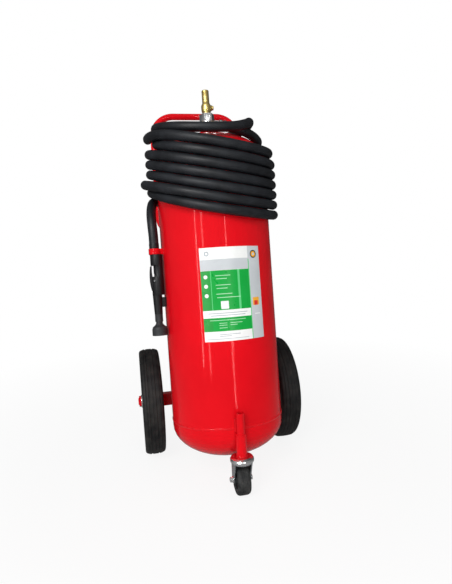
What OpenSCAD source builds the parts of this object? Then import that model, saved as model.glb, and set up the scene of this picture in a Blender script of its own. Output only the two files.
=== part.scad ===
// Wheeled fire extinguisher: a steel cylinder that leans back over a two wheel
// axle, with a swivel caster under its front, a pulling handle behind, and the
// discharge hose wound round its shoulder.
//
// World frame: +Z up, front is -Y, floor at Z = 0.
// Cylinder frame (see on_cylinder): Z runs up the cylinder's axis from its
// bottom seam, front is -Y. Lengths are millimetres, angles are degrees.

/* [Cylinder] */
// Outside diameter of the cylinder
cylinder_d = 300; // [290:2:310]
// Length of the rolled shell between its two seams
shell_len = 672; // [660:4:720]
// Plate thickness of the shell and the heads
plate_t = 3; // [2:0.5:4]
// Straight flange of each head
head_flange = 16; // [10:1:20]
// Rise of the elliptical part of the top head
head_rise = 75; // [65:1:80]
// Rise of the elliptical part of the bottom head
bottom_rise = 87; // [78:1:92]
// Width of the weld bead on each seam
bead_w = 6; // [4:0.5:9]
// Height of the weld bead on each seam
bead_h = 1.4; // [0.8:0.1:2.5]
// Backward lean of the cylinder over the axle
lean = 6; // [4:0.5:8]
// Diameter of the neck boss
neck_d = 66; // [60:1:76]
// Height of the neck boss above the top head
neck_h = 8; // [6:1:14]

/* [Axle and wheels] */
// Diameter of the two road wheels
wheel_d = 312; // [300:2:320]
// Width of a road tyre
tyre_w = 58; // [50:1:64]
// Seat diameter of a tyre on its rim
rim_d = 226; // [210:2:236]
// Distance between the middles of the two road tyres
track = 398; // [392:2:430]
// Diameter of the axle shaft
shaft_d = 20; // [16:1:24]
// Side of the square axle beam
beam = 35; // [32:1:44]
// Wall of the square axle beam
beam_wall = 3; // [2:0.5:4]
// Height of the axle above the bottom seam, along the cylinder
axle_up = 19; // [10:1:40]
// Thickness of the saddle plates over and under the beam
saddle_t = 4; // [3:0.5:6]
// Diameter of the round holes in each rim disc
rim_hole_d = 34; // [24:1:40]

/* [Caster] */
// Diameter of the caster's wheel
caster_d = 80; // [70:1:84]
// Width of the caster's tyre
caster_w = 34; // [28:1:36]
// Distance from the swivel axis back to the caster's axle
caster_trail = 15; // [12:1:30]
// Height of the caster from the floor to the top of its race
caster_h = 106; // [102:1:112]
// Diameter of the caster's race
race_d = 59; // [54:1:64]
// Diameter of the lower, wider tube that holds the caster
socket_d = 26; // [24:1:32]
// Length of the lower, wider tube
socket_len = 53; // [40:1:60]
// Diameter of the upper, narrower tube
stem_d = 20; // [18:0.5:22]
// Length of the upper, narrower tube
stem_len = 56; // [44:1:64]

/* [Handle] */
// Diameter of the handle's tube
handle_tube_d = 20; // [18:0.5:24]
// Distance between the middles of the two handle legs
handle_w = 270; // [262:2:290]
// Height of the grip bar above the bottom seam
handle_top = 900; // [885:5:940]
// Height of the feet of the handle legs above the bottom seam
handle_foot = 545; // [520:1:548]
// Distance of the handle legs behind the cylinder's axis
handle_back = 215; // [208:1:235]
// Bend radius of the handle's upper corners
handle_bend = 65; // [50:1:80]

/* [Valve] */
// Diameter of the valve body
valve_d = 36; // [32:1:42]
// Height of the valve body above the neck boss
valve_h = 32; // [28:1:40]
// Width across the flats of the collar nut
collar_af = 36; // [34:1:42]
// Height of the collar nut
collar_h = 24; // [18:1:28]
// Diameter of the filling valve's waist
waist_d = 27; // [24:0.5:30]
// Height of the filling valve's waist
waist_h = 30; // [26:1:36]
// Diameter of the filling stem that a charging hose grips
filling_d = 19.7; // [18:0.1:22]
// Length of the filling stem
filling_len = 35; // [30:1:44]
// Distance from the valve's axis to the end of the hose ferrule
outlet_reach = 50; // [48:1:56]
// Distance of the outlet's elbow in front of the valve's axis
outlet_fore = 62; // [58:1:66]
// Downward tilt of the outlet
outlet_tilt = 12; // [6:1:16]

/* [Hose] */
// Outside diameter of the hose
hose_d = 25; // [24:0.2:25.4]
// Drop of the wound hose in each turn
coil_pitch = 27; // [26.4:0.1:28]

/* [Gun] */
// Length of the gun's body
gun_len = 106; // [100:1:110]
// Diameter of the gun's collars
gun_d = 32; // [28:0.5:33]
// Height of the gun's top end above the bottom seam
gun_top = 446; // [440:1:452]
// Outside diameter of the nozzle cup
cup_d = 40; // [36:1:44]
// Length of the nozzle cup
cup_len = 28; // [25:1:34]
// Length of the discharge tube between the body and the cup
tube_len = 78; // [70:1:84]

/* [Label] */
// Width of the label round the cylinder
label_w = 161; // [120:1:180]
// Height of the label
label_h = 231; // [180:1:250]
// Height of the label's lower edge above the bottom seam
label_low = 217; // [180:1:260]
// Turn of the label's middle from the front, to the right
label_turn = 3.9; // [-10:0.1:10]
// Thickness of the label
label_t = 0.4; // [0.3:0.1:1]

/* [Hidden] */
$fn = 96;
eps = 0.01;
cylinder_r = cylinder_d / 2;
wheel_r = wheel_d / 2;
shaft_r = shaft_d / 2;
hose_r = hose_d / 2;

// Clearances
run_fit = 0.05;      // radial play of a part that turns on its pin
seat_gap = 0.3;      // gap between parts that touch on different bodies
soft_gap = 0.3;      // gap between the hose and what it lies on

// Heads and neck
head_steps = 12;
top_seam = shell_len;
apex = top_seam + head_flange + head_rise;
neck_top = apex + neck_h;
neck_bore_d = 42;
neck_depth = 22;
neck_flange_d = neck_d + 10;
dip_d = 24;
dip_wall = 1.5;
dip_clear = 18;

// Axle beam, saddles and shaft, in the cylinder frame
axle_back = cylinder_r + beam / 2 + bead_h + seat_gap;
hub_len = tyre_w;
wheel_in = track / 2 - hub_len / 2;
wheel_out = track / 2 + hub_len / 2;
collar_t = 5;
beam_half = wheel_in - seat_gap - collar_t;
plug_len = 40;
saddle_half = 0.9 * cylinder_r;
saddle_reach = 40;
washer_t = 2.5;
washer_r = shaft_r + 9;
hub_nut_t = 8.5;
hub_nut_af = 30;
hub_hex_t = 6;
hub_dome_t = 3.5;
hub_dome_r = hub_nut_af / 2 - 2;
hub_dome_top = hub_nut_af / 2 - 6;
shaft_half = wheel_out + seat_gap + washer_t + hub_nut_t - 1;

// Wheel parts
tread_groove_w = 3;
tread_groove_h = 1.6;
tread_crown = 2.5;
shoulder_r = 9;
rim_r = rim_d / 2;
rim_band_t = 4;
rim_flange_w = 50;
disc_t = 4;
rim_holes = 5;
hub_r = shaft_r + 14;
bush_r = shaft_r + 6;
bush_flange_r = bush_r + 4;
bush_flange_t = 3;
bush_len = 18;

// World frame: the origin is midway between the front of the caster's race
// and the back of the road wheels
socket_r = socket_d / 2;
race_r = race_d / 2;
front_dy = -(cylinder_r + socket_r + 0.5 + axle_back);
wheelbase = -(front_dy * cos(lean) - axle_up * sin(lean));
axle_y = (wheelbase + race_r - wheel_r) / 2;
swivel_y = axle_y - wheelbase;

// Caster
caster_r = caster_d / 2;
race_h = 11;
ball_r = 2.5;
ball_ring_r = race_r - 10;
ball_count = 16;
fork_plate_t = 3;
fork_in = caster_w / 2 + 2;
fork_t = 3;
fork_out = fork_in + fork_t;
fork_top = caster_h - race_h - 1;
fork_r = race_r - 2.5;
king_r = 6;
king_up = 40;
bolt_r = 4;
bolt_head_t = 5;
bolt_nut_t = 6.5;
sleeve_r = 6.5;
core_r = caster_r - 12;
stem_wall = 2.5;
stem_top = caster_h + socket_len + stem_len;

// Handle
handle_r = handle_tube_d / 2;
handle_wall = 2.5;
foot_bend = 35;
leg_low = handle_foot + foot_bend;
foot_angle = atan2(handle_back, handle_w / 2);
foot_dist = sqrt(pow(handle_back, 2) + pow(handle_w / 2, 2));
pad_r = 20;
pad_t = 3;

// Valve stack, in the cylinder frame
valve_r = valve_d / 2;
valve_top = neck_top + valve_h;
outlet_z = neck_top + 10;
outlet_bend = 18;
outlet_r = 8.5;
outlet_bore_r = 6;
elbow_nut_af = 22;
elbow_nut_h = 8;
union_af = 25;
union_len = 12;
ferrule_r = 13.3;
collar_top = valve_top + collar_h;
waist_top = collar_top + waist_h;
filling_top = waist_top + filling_len;
filling_bore_d = 9;
filling_core_r = filling_bore_d / 2 - run_fit;
core_travel = 2;
port_z = collar_top + 0.58 * waist_h;
port_bore_d = 8.5;
port_len = 2.5;

// Hose: it leaves the outlet, goes once and a half round the neck, winds
// round the shoulder as a helix that is tipped to the right and to the front,
// then runs free down to the gun
coil_z = 746;
coil_turns = 6.75;
coil_side = -0.152;
coil_fall = 0.24;
first_drop = 13;
first_turn = -0.055;
first_width = 0.19;
right_turn = 0.5;
right_width = 0.22;
right_in = 4;
right_rise = 5;
tuck_in = 22;
tuck_turn = 0.985;
tuck_width = 0.19;
bulge_out = 16;
bulge_turn = 5;
bulge_width = 0.28;
last_rise = 5;
last_turn = 6;
last_width = 0.22;
coil_rings = 24;
coil_r = (cylinder_r + bead_h + soft_gap) / cos(180 / coil_rings) + hose_r;
coil_sides = 6;
cord_sides = 8;
lead_rings = 58;
tail_rings = 16;
LEAD_POINTS = [[74, -61, 764], [99, -53, 757], [124, -32, 750.5], [140, 0, 747.5],
    [138, 44, 746.5], [103, 88, 747], [58, 113, 750], [4, 119, 756], [-52, 108, 767],
    [-98, 80, 779], [-132, 40, 786], [-143, -8, 783.5], [-129, -61, 770], [-97, -104, 757],
    [-50, -130, 747.5], [0, -138.5, 744.5], [46, -129, 749.5], [79, -104, 763.5],
    [102, -61, 783], [108, -10, 789], [98, 46, 792], [66, 94, 792], [18, 130, 791],
    [-42, 144, 795], [-104, 124, 799], [-146, 78, 787.5], [-162, 44, 775]];
TAIL_POINTS = [[-64, 153, 609.5], [-108, 127, 609.5], [-143, 86, 605], [-159, 44, 597],
    [-167, 12, 580], [-171, -12, 553], [-171, -25, 522], [-170, -28, 495]];

// Gun, in the cylinder frame
gun_angle = 189.4;
gun_r = cylinder_r + 22.3;
gun_low = gun_top - gun_len;
gun_body_r = gun_d / 2;
gun_bore_r = 5;
head_h = 28;
hub_h = 49;
gun_back = 3.5;
waist_back = 6.75;
waist_r = 12.25;
bore_back = 3.5;
lever_w = 12;
lever_slot = lever_w + 2 * seat_gap;
lever_x = 8;
lever_z = gun_low + 38;
lever_pin_r = 2;
lever_boss_r = 4.5;
lever_range = 6;
plunger_z = lever_z + 7;
plunger_r = 1.5;
tube_top_r = 12.4;
tube_low_r = 10.6;
tube_low = gun_low - tube_len;
ring_len = 20;
ring_r = 10.4;
cup_low = tube_low - cup_len;
cup_r = cup_d / 2;
cup_wall = 2.5;
gun_ferrule_r = 13;
gun_ferrule_len = 30;
clip_low = gun_top + 1;
clip_h = 15;
clip_t = 2.2;
rest_h = 26;
rest_w = 10;
rest_z = gun_low - 32;

// ---------------------------------------------------------------- frames

// Places things drawn in the cylinder frame into the world
module on_cylinder() {
    translate([0, axle_y, wheel_r])
        rotate([-lean, 0, 0])
            translate([0, -axle_back, -axle_up])
                children();
}

// Places things drawn round the wheel line (axis along X) in the world
module on_axle(x) {
    translate([x, axle_y, wheel_r]) rotate([0, 90, 0]) children();
}

module on_swivel() {
    translate([0, swivel_y, 0]) children();
}

module on_caster_axle() {
    translate([0, swivel_y + caster_trail, caster_r]) rotate([0, 90, 0]) children();
}

// The gun's frame: X points away from the cylinder, Z along its axis
module on_gun() {
    on_cylinder() rotate([0, 0, gun_angle]) translate([gun_r, 0, 0]) children();
}

// ---------------------------------------------------------------- helpers

function quarter(a, b, n) = [for (i = [0 : n]) [a * cos(90 * i / n), b * sin(90 * i / n)]];
function flip(list) = [for (i = [len(list) - 1 : -1 : 0]) list[i]];

module tube(r, wall, h) {
    difference() {
        cylinder(r = r, h = h);
        translate([0, 0, -1]) cylinder(r = r - wall, h = h + 2);
    }
}

module ring(r_out, r_in, h) {
    difference() {
        cylinder(r = r_out, h = h);
        translate([0, 0, -1]) cylinder(r = r_in, h = h + 2);
    }
}

module hex(af, h) {
    cylinder(d = af / cos(30), h = h, $fn = 6);
}

// One pressed head, opening down, its rim at Z = 0
module head(rise) {
    outer = quarter(cylinder_r, rise, head_steps);
    inner = quarter(cylinder_r - plate_t, rise - plate_t, head_steps);
    lift = [0, head_flange];
    rotate_extrude()
        polygon(concat([[cylinder_r, 0]], [for (p = outer) p + lift],
            [for (p = flip(inner)) p + lift], [[cylinder_r - plate_t, 0]]));
}

// ---------------------------------------------------------------- cylinder

module cylinder_shell() {
    color("#c8141c") on_cylinder() tube(cylinder_r, plate_t, shell_len);
}

module bottom_head() {
    color("#c8141c") on_cylinder() mirror([0, 0, 1]) head(bottom_rise);
}

module top_head() {
    color("#c8141c") on_cylinder() difference() {
        translate([0, 0, top_seam]) head(head_rise);
        translate([0, 0, top_seam]) cylinder(d = neck_d, h = head_flange + head_rise + 1);
    }
}

module seam_welds() {
    color("#b8141a") on_cylinder()
        for (z = [0, top_seam])
            translate([0, 0, z]) rotate_extrude()
                polygon([[cylinder_r, -bead_w / 2], [cylinder_r + bead_h * 0.8, -bead_w / 4],
                    [cylinder_r + bead_h, 0], [cylinder_r + bead_h * 0.8, bead_w / 4],
                    [cylinder_r, bead_w / 2]]);
}

module neck_boss() {
    color("#b8141a") on_cylinder() difference() {
        translate([0, 0, apex - neck_depth]) cylinder(d = neck_d, h = neck_depth + neck_h);
        translate([0, 0, apex - neck_depth - 1])
            cylinder(d = neck_bore_d, h = neck_depth + neck_h + 2);
    }
}

module dip_tube() {
    low = -head_flange - bottom_rise + plate_t + dip_clear;
    color("silver") on_cylinder()
        translate([0, 0, low]) tube(dip_d / 2, dip_wall, apex - neck_depth - low);
}

module label_plate() {
    half = label_w / cylinder_d * 180 / PI;
    r0 = cylinder_r + 0.05;
    color("#e9ecef") on_cylinder() rotate([0, 0, -90 + label_turn - half])
        translate([0, 0, label_low])
            rotate_extrude(angle = 2 * half) translate([r0, 0]) square([label_t, label_h]);
}

// ---------------------------------------------------------------- axle

module axle_frame() {
    on_cylinder() translate([0, axle_back, axle_up]) children();
}

module axle_beam() {
    inner = beam - 2 * beam_wall;
    color("#a81218") axle_frame() difference() {
        cube([2 * beam_half, beam, beam], center = true);
        cube([2 * beam_half + 2, inner, inner], center = true);
    }
}

module axle_plugs() {
    inner = beam - 2 * beam_wall;
    color("#8c8f92") axle_frame() for (s = [-1, 1]) difference() {
        translate([s * (beam_half - plug_len / 2), 0, 0])
            cube([plug_len, inner, inner], center = true);
        rotate([0, 90, 0]) cylinder(r = shaft_r, h = 2 * beam_half + 2, center = true);
    }
}

module axle_saddles() {
    color("#a81218") axle_frame() for (s = [-1, 1]) difference() {
        translate([-saddle_half, -saddle_reach - beam / 2,
                s > 0 ? beam / 2 : -beam / 2 - saddle_t])
            cube([2 * saddle_half, saddle_reach + beam, saddle_t]);
        translate([0, -axle_back, -beam]) cylinder(r = cylinder_r, h = 2 * beam);
        translate([0, -axle_back, -axle_up - bead_w / 2])
            cylinder(r = cylinder_r + bead_h, h = bead_w);
        for (x = [-1, 1])
            translate([x * saddle_half, -saddle_reach - beam / 2, 0])
                rotate([0, 0, x * 38]) cube([60, 46, 3 * beam], center = true);
    }
}

module axle_shaft() {
    color("silver") axle_frame() rotate([0, 90, 0])
        cylinder(r = shaft_r, h = 2 * shaft_half, center = true);
}

module axle_collars() {
    color("#a81218") for (s = [-1, 1])
        on_axle(s > 0 ? beam_half : -beam_half - collar_t)
            ring(shaft_r + 6, shaft_r, collar_t);
}

module axle_washers() {
    color("#d8dadd") for (s = [-1, 1])
        on_axle(s > 0 ? wheel_out + seat_gap : -wheel_out - seat_gap - washer_t)
            ring(washer_r, shaft_r, washer_t);
}

module hub_nuts() {
    z0 = wheel_out + seat_gap + washer_t;
    color("#c8141c") for (s = [-1, 1])
        on_axle(0) mirror([0, 0, s > 0 ? 0 : 1]) translate([0, 0, z0]) difference() {
            union() {
                hex(hub_nut_af, hub_hex_t);
                translate([0, 0, hub_nut_t - hub_dome_t])
                    cylinder(r1 = hub_dome_r, r2 = hub_dome_top, h = hub_dome_t);
            }
            translate([0, 0, -1]) cylinder(r = shaft_r, h = hub_nut_t);
        }
}

// ---------------------------------------------------------------- wheels

// Half profile of a road tyre from its middle outwards, mirrored for the
// other half: bead seat, sidewall, rounded shoulder, crowned tread
function tyre_side() = let (w = tyre_w / 2, r = wheel_r)
    concat([[w * 0.78, rim_r], [w * 0.86, rim_r + 6], [w * 0.93, rim_r + 16],
        [w, r - shoulder_r - 10]],
        [for (i = [0 : 4]) let (a = 90 * i / 4)
            [w - shoulder_r * (1 - cos(a)), r - tread_crown - shoulder_r * (1 - sin(a))]],
        [[w * 0.35, r - 0.4]]);

module tyre() {
    side = tyre_side();
    full = concat(side, [for (p = flip(side)) [-p[0], p[1]]]);
    difference() {
        rotate_extrude() polygon([for (p = full) [p[1], p[0]]]);
        for (z = [-0.5, -0.17, 0.17, 0.5])
            translate([0, 0, z * tyre_w - tread_groove_w / 2])
                ring(wheel_r + 5, wheel_r - tread_groove_h - tread_crown * pow(2 * z, 2),
                    tread_groove_w);
    }
}

module rim() {
    difference() {
        union() {
            translate([0, 0, -rim_flange_w / 2 + 2])
                ring(rim_r, rim_r - rim_band_t, rim_flange_w - 4);
            translate([0, 0, -disc_t / 2]) cylinder(r = rim_r - rim_band_t + 1, h = disc_t);
            translate([0, 0, -hub_len / 2]) cylinder(r = hub_r, h = hub_len);
            for (m = [0, 1]) mirror([0, 0, m]) translate([0, 0, disc_t / 2 - eps])
                cylinder(r1 = hub_r + 16, r2 = hub_r, h = 9);
        }
        cylinder(r = bush_r, h = hub_len + 2, center = true);
        for (m = [0, 1]) mirror([0, 0, m])
            translate([0, 0, hub_len / 2 - bush_flange_t])
                cylinder(r = bush_flange_r, h = bush_flange_t + 1);
        for (i = [0 : rim_holes - 1])
            rotate([0, 0, i * 360 / rim_holes])
                translate([(rim_r + hub_r) / 2 + 5, 0, 0])
                    cylinder(d = rim_hole_d, h = 3 * disc_t, center = true);
    }
}

module bushes() {
    for (m = [0, 1]) mirror([0, 0, m]) difference() {
        union() {
            translate([0, 0, hub_len / 2 - bush_len]) cylinder(r = bush_r, h = bush_len);
            translate([0, 0, hub_len / 2 - bush_flange_t])
                cylinder(r = bush_flange_r, h = bush_flange_t);
        }
        translate([0, 0, hub_len / 2 - bush_len - 1])
            cylinder(r = shaft_r + run_fit, h = bush_len + 2);
    }
}

module left_tyre() { color("#2b2c2d") on_axle(-track / 2) tyre(); }
module left_rim() { color("#b9bcbf") on_axle(-track / 2) rim(); }
module left_bushes() { color("#e8e6df") on_axle(-track / 2) bushes(); }
module right_tyre() { color("#2b2c2d") on_axle(track / 2) tyre(); }
module right_rim() { color("#b9bcbf") on_axle(track / 2) rim(); }
module right_bushes() { color("#e8e6df") on_axle(track / 2) bushes(); }

// ---------------------------------------------------------------- caster

// The cylinder as a plain solid, grown by a gap, for what is cut to lie on it
module vessel_solid(gap) {
    on_cylinder() translate([0, 0, -head_flange - bottom_rise])
        cylinder(r = cylinder_r + gap, h = apex + head_flange + bottom_rise);
}

module caster_socket() {
    color("#c8141c") difference() {
        on_swivel() translate([0, 0, caster_h]) tube(socket_r, socket_r - king_r, socket_len);
        vessel_solid(0.05);
    }
}

module caster_stem() {
    color("#c8141c") difference() {
        on_swivel() translate([0, 0, caster_h + socket_len])
            tube(stem_d / 2, stem_wall, stem_len);
        vessel_solid(0.05);
    }
}

// Two beads that fill the corners between the caster's tubes and the cylinder
module stem_welds() {
    bead_r = 4.5;
    color("#b8141a") difference() {
        on_cylinder() for (s = [-1, 1])
            translate([s * (socket_r * 0.62 + 2), -cylinder_r - 2.5, -8]) cylinder(r = bead_r, h = 36);
        vessel_solid(0);
        on_cylinder() translate([0, 0, -bead_w / 2])
            cylinder(r = cylinder_r + bead_h, h = bead_w);
        on_swivel() translate([0, 0, caster_h]) cylinder(r = socket_r, h = socket_len);
        on_swivel() translate([0, 0, caster_h]) cylinder(r = stem_d / 2, h = socket_len + stem_len);
    }
}

module caster_king_pin() {
    color("silver") on_swivel() translate([0, 0, fork_top - fork_plate_t - 6])
        union() {
            cylinder(r = king_r, h = king_up + race_h + fork_plate_t + 6);
            cylinder(r = king_r + 4, h = 6 - seat_gap);
        }
}

// Fixed upper race: a dished cover over the balls
module caster_race() {
    z1 = caster_h;
    z0 = caster_h - race_h;
    color("#e4e6e8") on_swivel() difference() {
        rotate_extrude() polygon([[king_r, z1], [race_r - 7, z1], [race_r - 2, z1 - 2.5],
            [race_r, z1 - 6], [race_r, z0], [race_r - 2, z0], [race_r - 2.4, z1 - 5.5],
            [race_r - 7.5, z1 - 3.4], [king_r, z1 - 3.4]]);
        translate([0, 0, z0 + ball_r * 2]) rotate_extrude()
            translate([ball_ring_r, 0]) circle(r = ball_r + 0.1, $fn = 24);
    }
}

module caster_balls() {
    color("silver") on_swivel() for (i = [0 : ball_count - 1])
        rotate([0, 0, i * 360 / ball_count])
            translate([ball_ring_r, 0, caster_h - race_h + ball_r * 2]) sphere(r = ball_r, $fn = 24);
}

module fork_side() {
    linear_extrude(height = fork_t) union() {
        polygon([[-race_r * 0.62, fork_top - eps], [race_r * 0.86, fork_top - eps],
            [caster_trail + 10, caster_r], [caster_trail - 10, caster_r]]);
        translate([caster_trail, caster_r]) circle(r = 10);
    }
}

module caster_fork() {
    color("#c9ccce") on_swivel() difference() {
        union() {
            translate([0, 0, fork_top - fork_plate_t]) cylinder(r = fork_r, h = fork_plate_t);
            translate([0, 0, fork_top - eps])
                ring(ball_ring_r + 5, king_r + 3, race_h - ball_r * 2 - 3.4 + 0.6);
            for (s = [-1, 1]) intersection() {
                translate([s > 0 ? fork_in : -fork_out, 0, 0])
                    rotate([90, 0, 90]) fork_side();
                translate([-fork_r, -60, 0]) cube([2 * fork_r, 120, fork_top]);
            }
        }
        translate([0, 0, fork_top - 20]) cylinder(r = king_r + run_fit, h = 60);
        translate([0, 0, caster_h - race_h + ball_r * 2]) rotate_extrude()
            translate([ball_ring_r, 0]) circle(r = ball_r + 0.35, $fn = 24);
        translate([0, caster_trail, caster_r]) rotate([0, 90, 0])
            cylinder(r = bolt_r, h = 4 * fork_out, center = true);
    }
}

module caster_bolt() {
    color("silver") on_caster_axle() {
        translate([0, 0, -fork_out - bolt_nut_t - 1.5])
            cylinder(r = bolt_r, h = 2 * fork_out + bolt_nut_t + 1.5 + eps);
        translate([0, 0, fork_out]) hex(13, bolt_head_t);
    }
}

module caster_nut() {
    color("#d8dadd") on_caster_axle() translate([0, 0, -fork_out - bolt_nut_t]) difference() {
        union() {
            hex(13, bolt_nut_t);
            translate([0, 0, bolt_nut_t - 1.2]) cylinder(r = 8.5, h = 1.2);
        }
        translate([0, 0, -1]) cylinder(r = bolt_r, h = bolt_nut_t + 2);
    }
}

module caster_sleeve() {
    color("silver") on_caster_axle() translate([0, 0, -fork_in])
        ring(sleeve_r, bolt_r, 2 * fork_in);
}

module caster_core() {
    half = caster_w / 2;
    color("#9fa3a5") on_caster_axle() difference() {
        union() {
            translate([0, 0, -half + 2]) cylinder(r = core_r, h = caster_w - 4);
            translate([0, 0, -half - 1.5]) cylinder(r = sleeve_r + 6, h = caster_w + 3);
        }
        for (m = [0, 1]) mirror([0, 0, m])
            translate([0, 0, half - 7]) ring(core_r - 4, sleeve_r + 6, 10);
        cylinder(r = sleeve_r + run_fit, h = caster_w + 10, center = true);
    }
}

module caster_tyre() {
    half = caster_w / 2;
    color("#222324") on_caster_axle() rotate_extrude() polygon([[core_r, -half + 2],
        [core_r + 3, -half + 0.5], [caster_r - 7, -half], [caster_r - 2, -half + 3.5],
        [caster_r, -half + 8], [caster_r, half - 8], [caster_r - 2, half - 3.5],
        [caster_r - 7, half], [core_r + 3, half - 0.5], [core_r, half - 2]]);
}

// ---------------------------------------------------------------- handle

module bend(r_tube, wall, r_bend, angle) {
    rotate_extrude(angle = angle) translate([r_bend, 0]) difference() {
        circle(r = r_tube);
        circle(r = r_tube - wall);
    }
}

// One half of the hoop, from the middle of the grip bar to the leg's end
module handle_half(r, wall) {
    half = handle_w / 2;
    translate([0, handle_back, handle_top]) rotate([0, 90, 0])
        tube(r, wall, half - handle_bend);
    translate([half - handle_bend, handle_back, handle_top - handle_bend])
        rotate([90, 0, 0]) bend(r, wall, handle_bend, 90);
    translate([half, handle_back, leg_low])
        tube(r, wall, handle_top - handle_bend - leg_low);
}

// The bent foot under a leg, which runs in to the cylinder
module handle_foot_bend(r, wall) {
    rotate([0, 0, foot_angle]) translate([foot_dist - foot_bend, 0, leg_low])
        rotate([-90, 0, 0]) bend(r, wall, foot_bend, 90);
    rotate([0, 0, foot_angle]) translate([foot_dist - foot_bend, 0, handle_foot])
        rotate([0, -90, 0]) tube(r, wall, foot_dist - foot_bend - cylinder_r + 4);
}

module carry_handle() {
    color("#c8141c") on_cylinder() union() {
        handle_half(handle_r, handle_wall);
        mirror([1, 0, 0]) handle_half(handle_r, handle_wall);
    }
}

module handle_feet() {
    color("#c8141c") on_cylinder() difference() {
        union() {
            handle_foot_bend(handle_r, handle_wall);
            mirror([1, 0, 0]) handle_foot_bend(handle_r, handle_wall);
        }
        cylinder(r = cylinder_r + pad_t, h = top_seam);
    }
}

module handle_pads() {
    color("#c8141c") on_cylinder() for (m = [0, 1]) mirror([m, 0, 0])
        intersection() {
            difference() {
                cylinder(r = cylinder_r + pad_t, h = top_seam);
                translate([0, 0, -1]) cylinder(r = cylinder_r, h = top_seam + 2);
            }
            rotate([0, 0, foot_angle]) translate([0, 0, handle_foot])
                rotate([0, 90, 0]) cylinder(r = pad_r, h = foot_dist);
        }
}

// ---------------------------------------------------------------- valve

module valve_body() {
    plug_low = apex - neck_depth;
    color("#dfe2e4") on_cylinder() difference() {
        union() {
            translate([0, 0, plug_low]) cylinder(d = neck_bore_d, h = neck_depth + neck_h);
            translate([0, 0, neck_top]) cylinder(r = valve_r, h = valve_h);
            translate([0, 0, outlet_z]) rotate([90, 0, 0])
                cylinder(r = outlet_r, h = outlet_fore - outlet_bend - elbow_nut_h);
        }
        translate([0, 0, plug_low - 1])
            cylinder(r = dip_d / 2 - dip_wall, h = outlet_z - plug_low + outlet_bore_r + 1);
        translate([0, 0, outlet_z]) rotate([90, 0, 0])
            cylinder(r = outlet_bore_r, h = outlet_fore);
        translate([0, 0, outlet_z]) cylinder(d = filling_bore_d, h = valve_h);
    }
}

module valve_seal() {
    color("#1c1c1c") on_cylinder() translate([0, 0, neck_top])
        ring(neck_d / 2 - 3, valve_r, outlet_z - outlet_r - neck_top - seat_gap);
}

module collar_nut() {
    color("#e6e8ea") on_cylinder() translate([0, 0, valve_top]) difference() {
        union() {
            translate([0, 0, 2]) hex(collar_af, collar_h - 4);
            cylinder(d = collar_af + 1, h = 2);
            translate([0, 0, collar_h - 2]) cylinder(d1 = collar_af, d2 = collar_af - 5, h = 2);
        }
        translate([0, 0, -1]) cylinder(d = filling_bore_d, h = collar_h + 2);
    }
}

module filling_valve() {
    r = waist_d / 2;
    color("#c9a94e") on_cylinder() difference() {
        union() {
            translate([0, 0, collar_top]) rotate_extrude() polygon([[0, 0], [r - 3, 0],
                [r - 2, 3], [r - 0.4, 7], [r, 0.45 * waist_h], [r, 0.72 * waist_h],
                [r - 2.5, waist_h - 3], [filling_d / 2, waist_h], [0, waist_h]]);
            translate([0, 0, waist_top - eps]) cylinder(d = filling_d, h = filling_len + eps);
            translate([0, 0, port_z]) rotate([0, 90, 0]) cylinder(r = 7.5, h = r + port_len);
        }
        translate([0, 0, collar_top - 1])
            cylinder(d = filling_bore_d, h = waist_h + filling_len + 2);
        translate([0, 0, filling_top - 7]) ring(filling_d, filling_d / 2 - 1, 1.6);
        translate([0, 0, port_z]) rotate([0, 90, 0]) cylinder(d = port_bore_d, h = 60);
    }
}

module filling_core() {
    color("#b89238") on_cylinder() translate([0, 0, filling_top - 16]) union() {
        cylinder(r = filling_core_r, h = 9);
        translate([0, 0, 9 - eps]) cylinder(r = 1.6, h = 5);
    }
}

module filling_spring() {
    low = collar_top + 1;
    high = filling_top - 16 - core_travel - seat_gap;
    color("silver") on_cylinder() translate([0, 0, low])
        ring(filling_bore_d / 2, filling_bore_d / 2 - 1.2, high - low);
}

module port_plug() {
    r = waist_d / 2 + port_len;
    inner = filling_bore_d / 2 + 2;
    color("#c9a94e") on_cylinder() translate([0, 0, port_z]) rotate([0, 90, 0]) {
        translate([0, 0, inner]) cylinder(d = port_bore_d, h = r - inner);
        translate([0, 0, r]) hex(11, 4);
    }
}

// The outlet's frame: X runs along the ferrule, away from the valve
module on_outlet() {
    on_cylinder() translate([0, 0, outlet_z]) rotate([0, outlet_tilt, 0]) children();
}

module outlet_elbow() {
    y0 = -(outlet_fore - outlet_bend);
    color("#dfe2e4") on_outlet() union() {
        translate([0, y0 + elbow_nut_h, 0]) rotate([90, 0, 0]) difference() {
            hex(elbow_nut_af, elbow_nut_h);
            translate([0, 0, -1]) cylinder(r = outlet_bore_r, h = elbow_nut_h + 2);
        }
        translate([outlet_bend, y0, 0]) rotate([0, 0, 180])
            bend(outlet_r, outlet_r - outlet_bore_r, outlet_bend, 90);
        translate([outlet_bend, -outlet_fore, 0]) rotate([0, 90, 0])
            tube(outlet_r, outlet_r - outlet_bore_r, union_len);
    }
}

module outlet_union() {
    color("#dfe2e4") on_outlet() translate([outlet_bend + 1, -outlet_fore, 0])
        rotate([0, 90, 0]) difference() {
            union() {
                hex(union_af, union_len - 4);
                translate([0, 0, union_len - 4 - eps]) cylinder(r = 11.5, h = 3 + eps);
            }
            translate([0, 0, -1]) cylinder(r = outlet_r, h = union_len + 2);
        }
}

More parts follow.
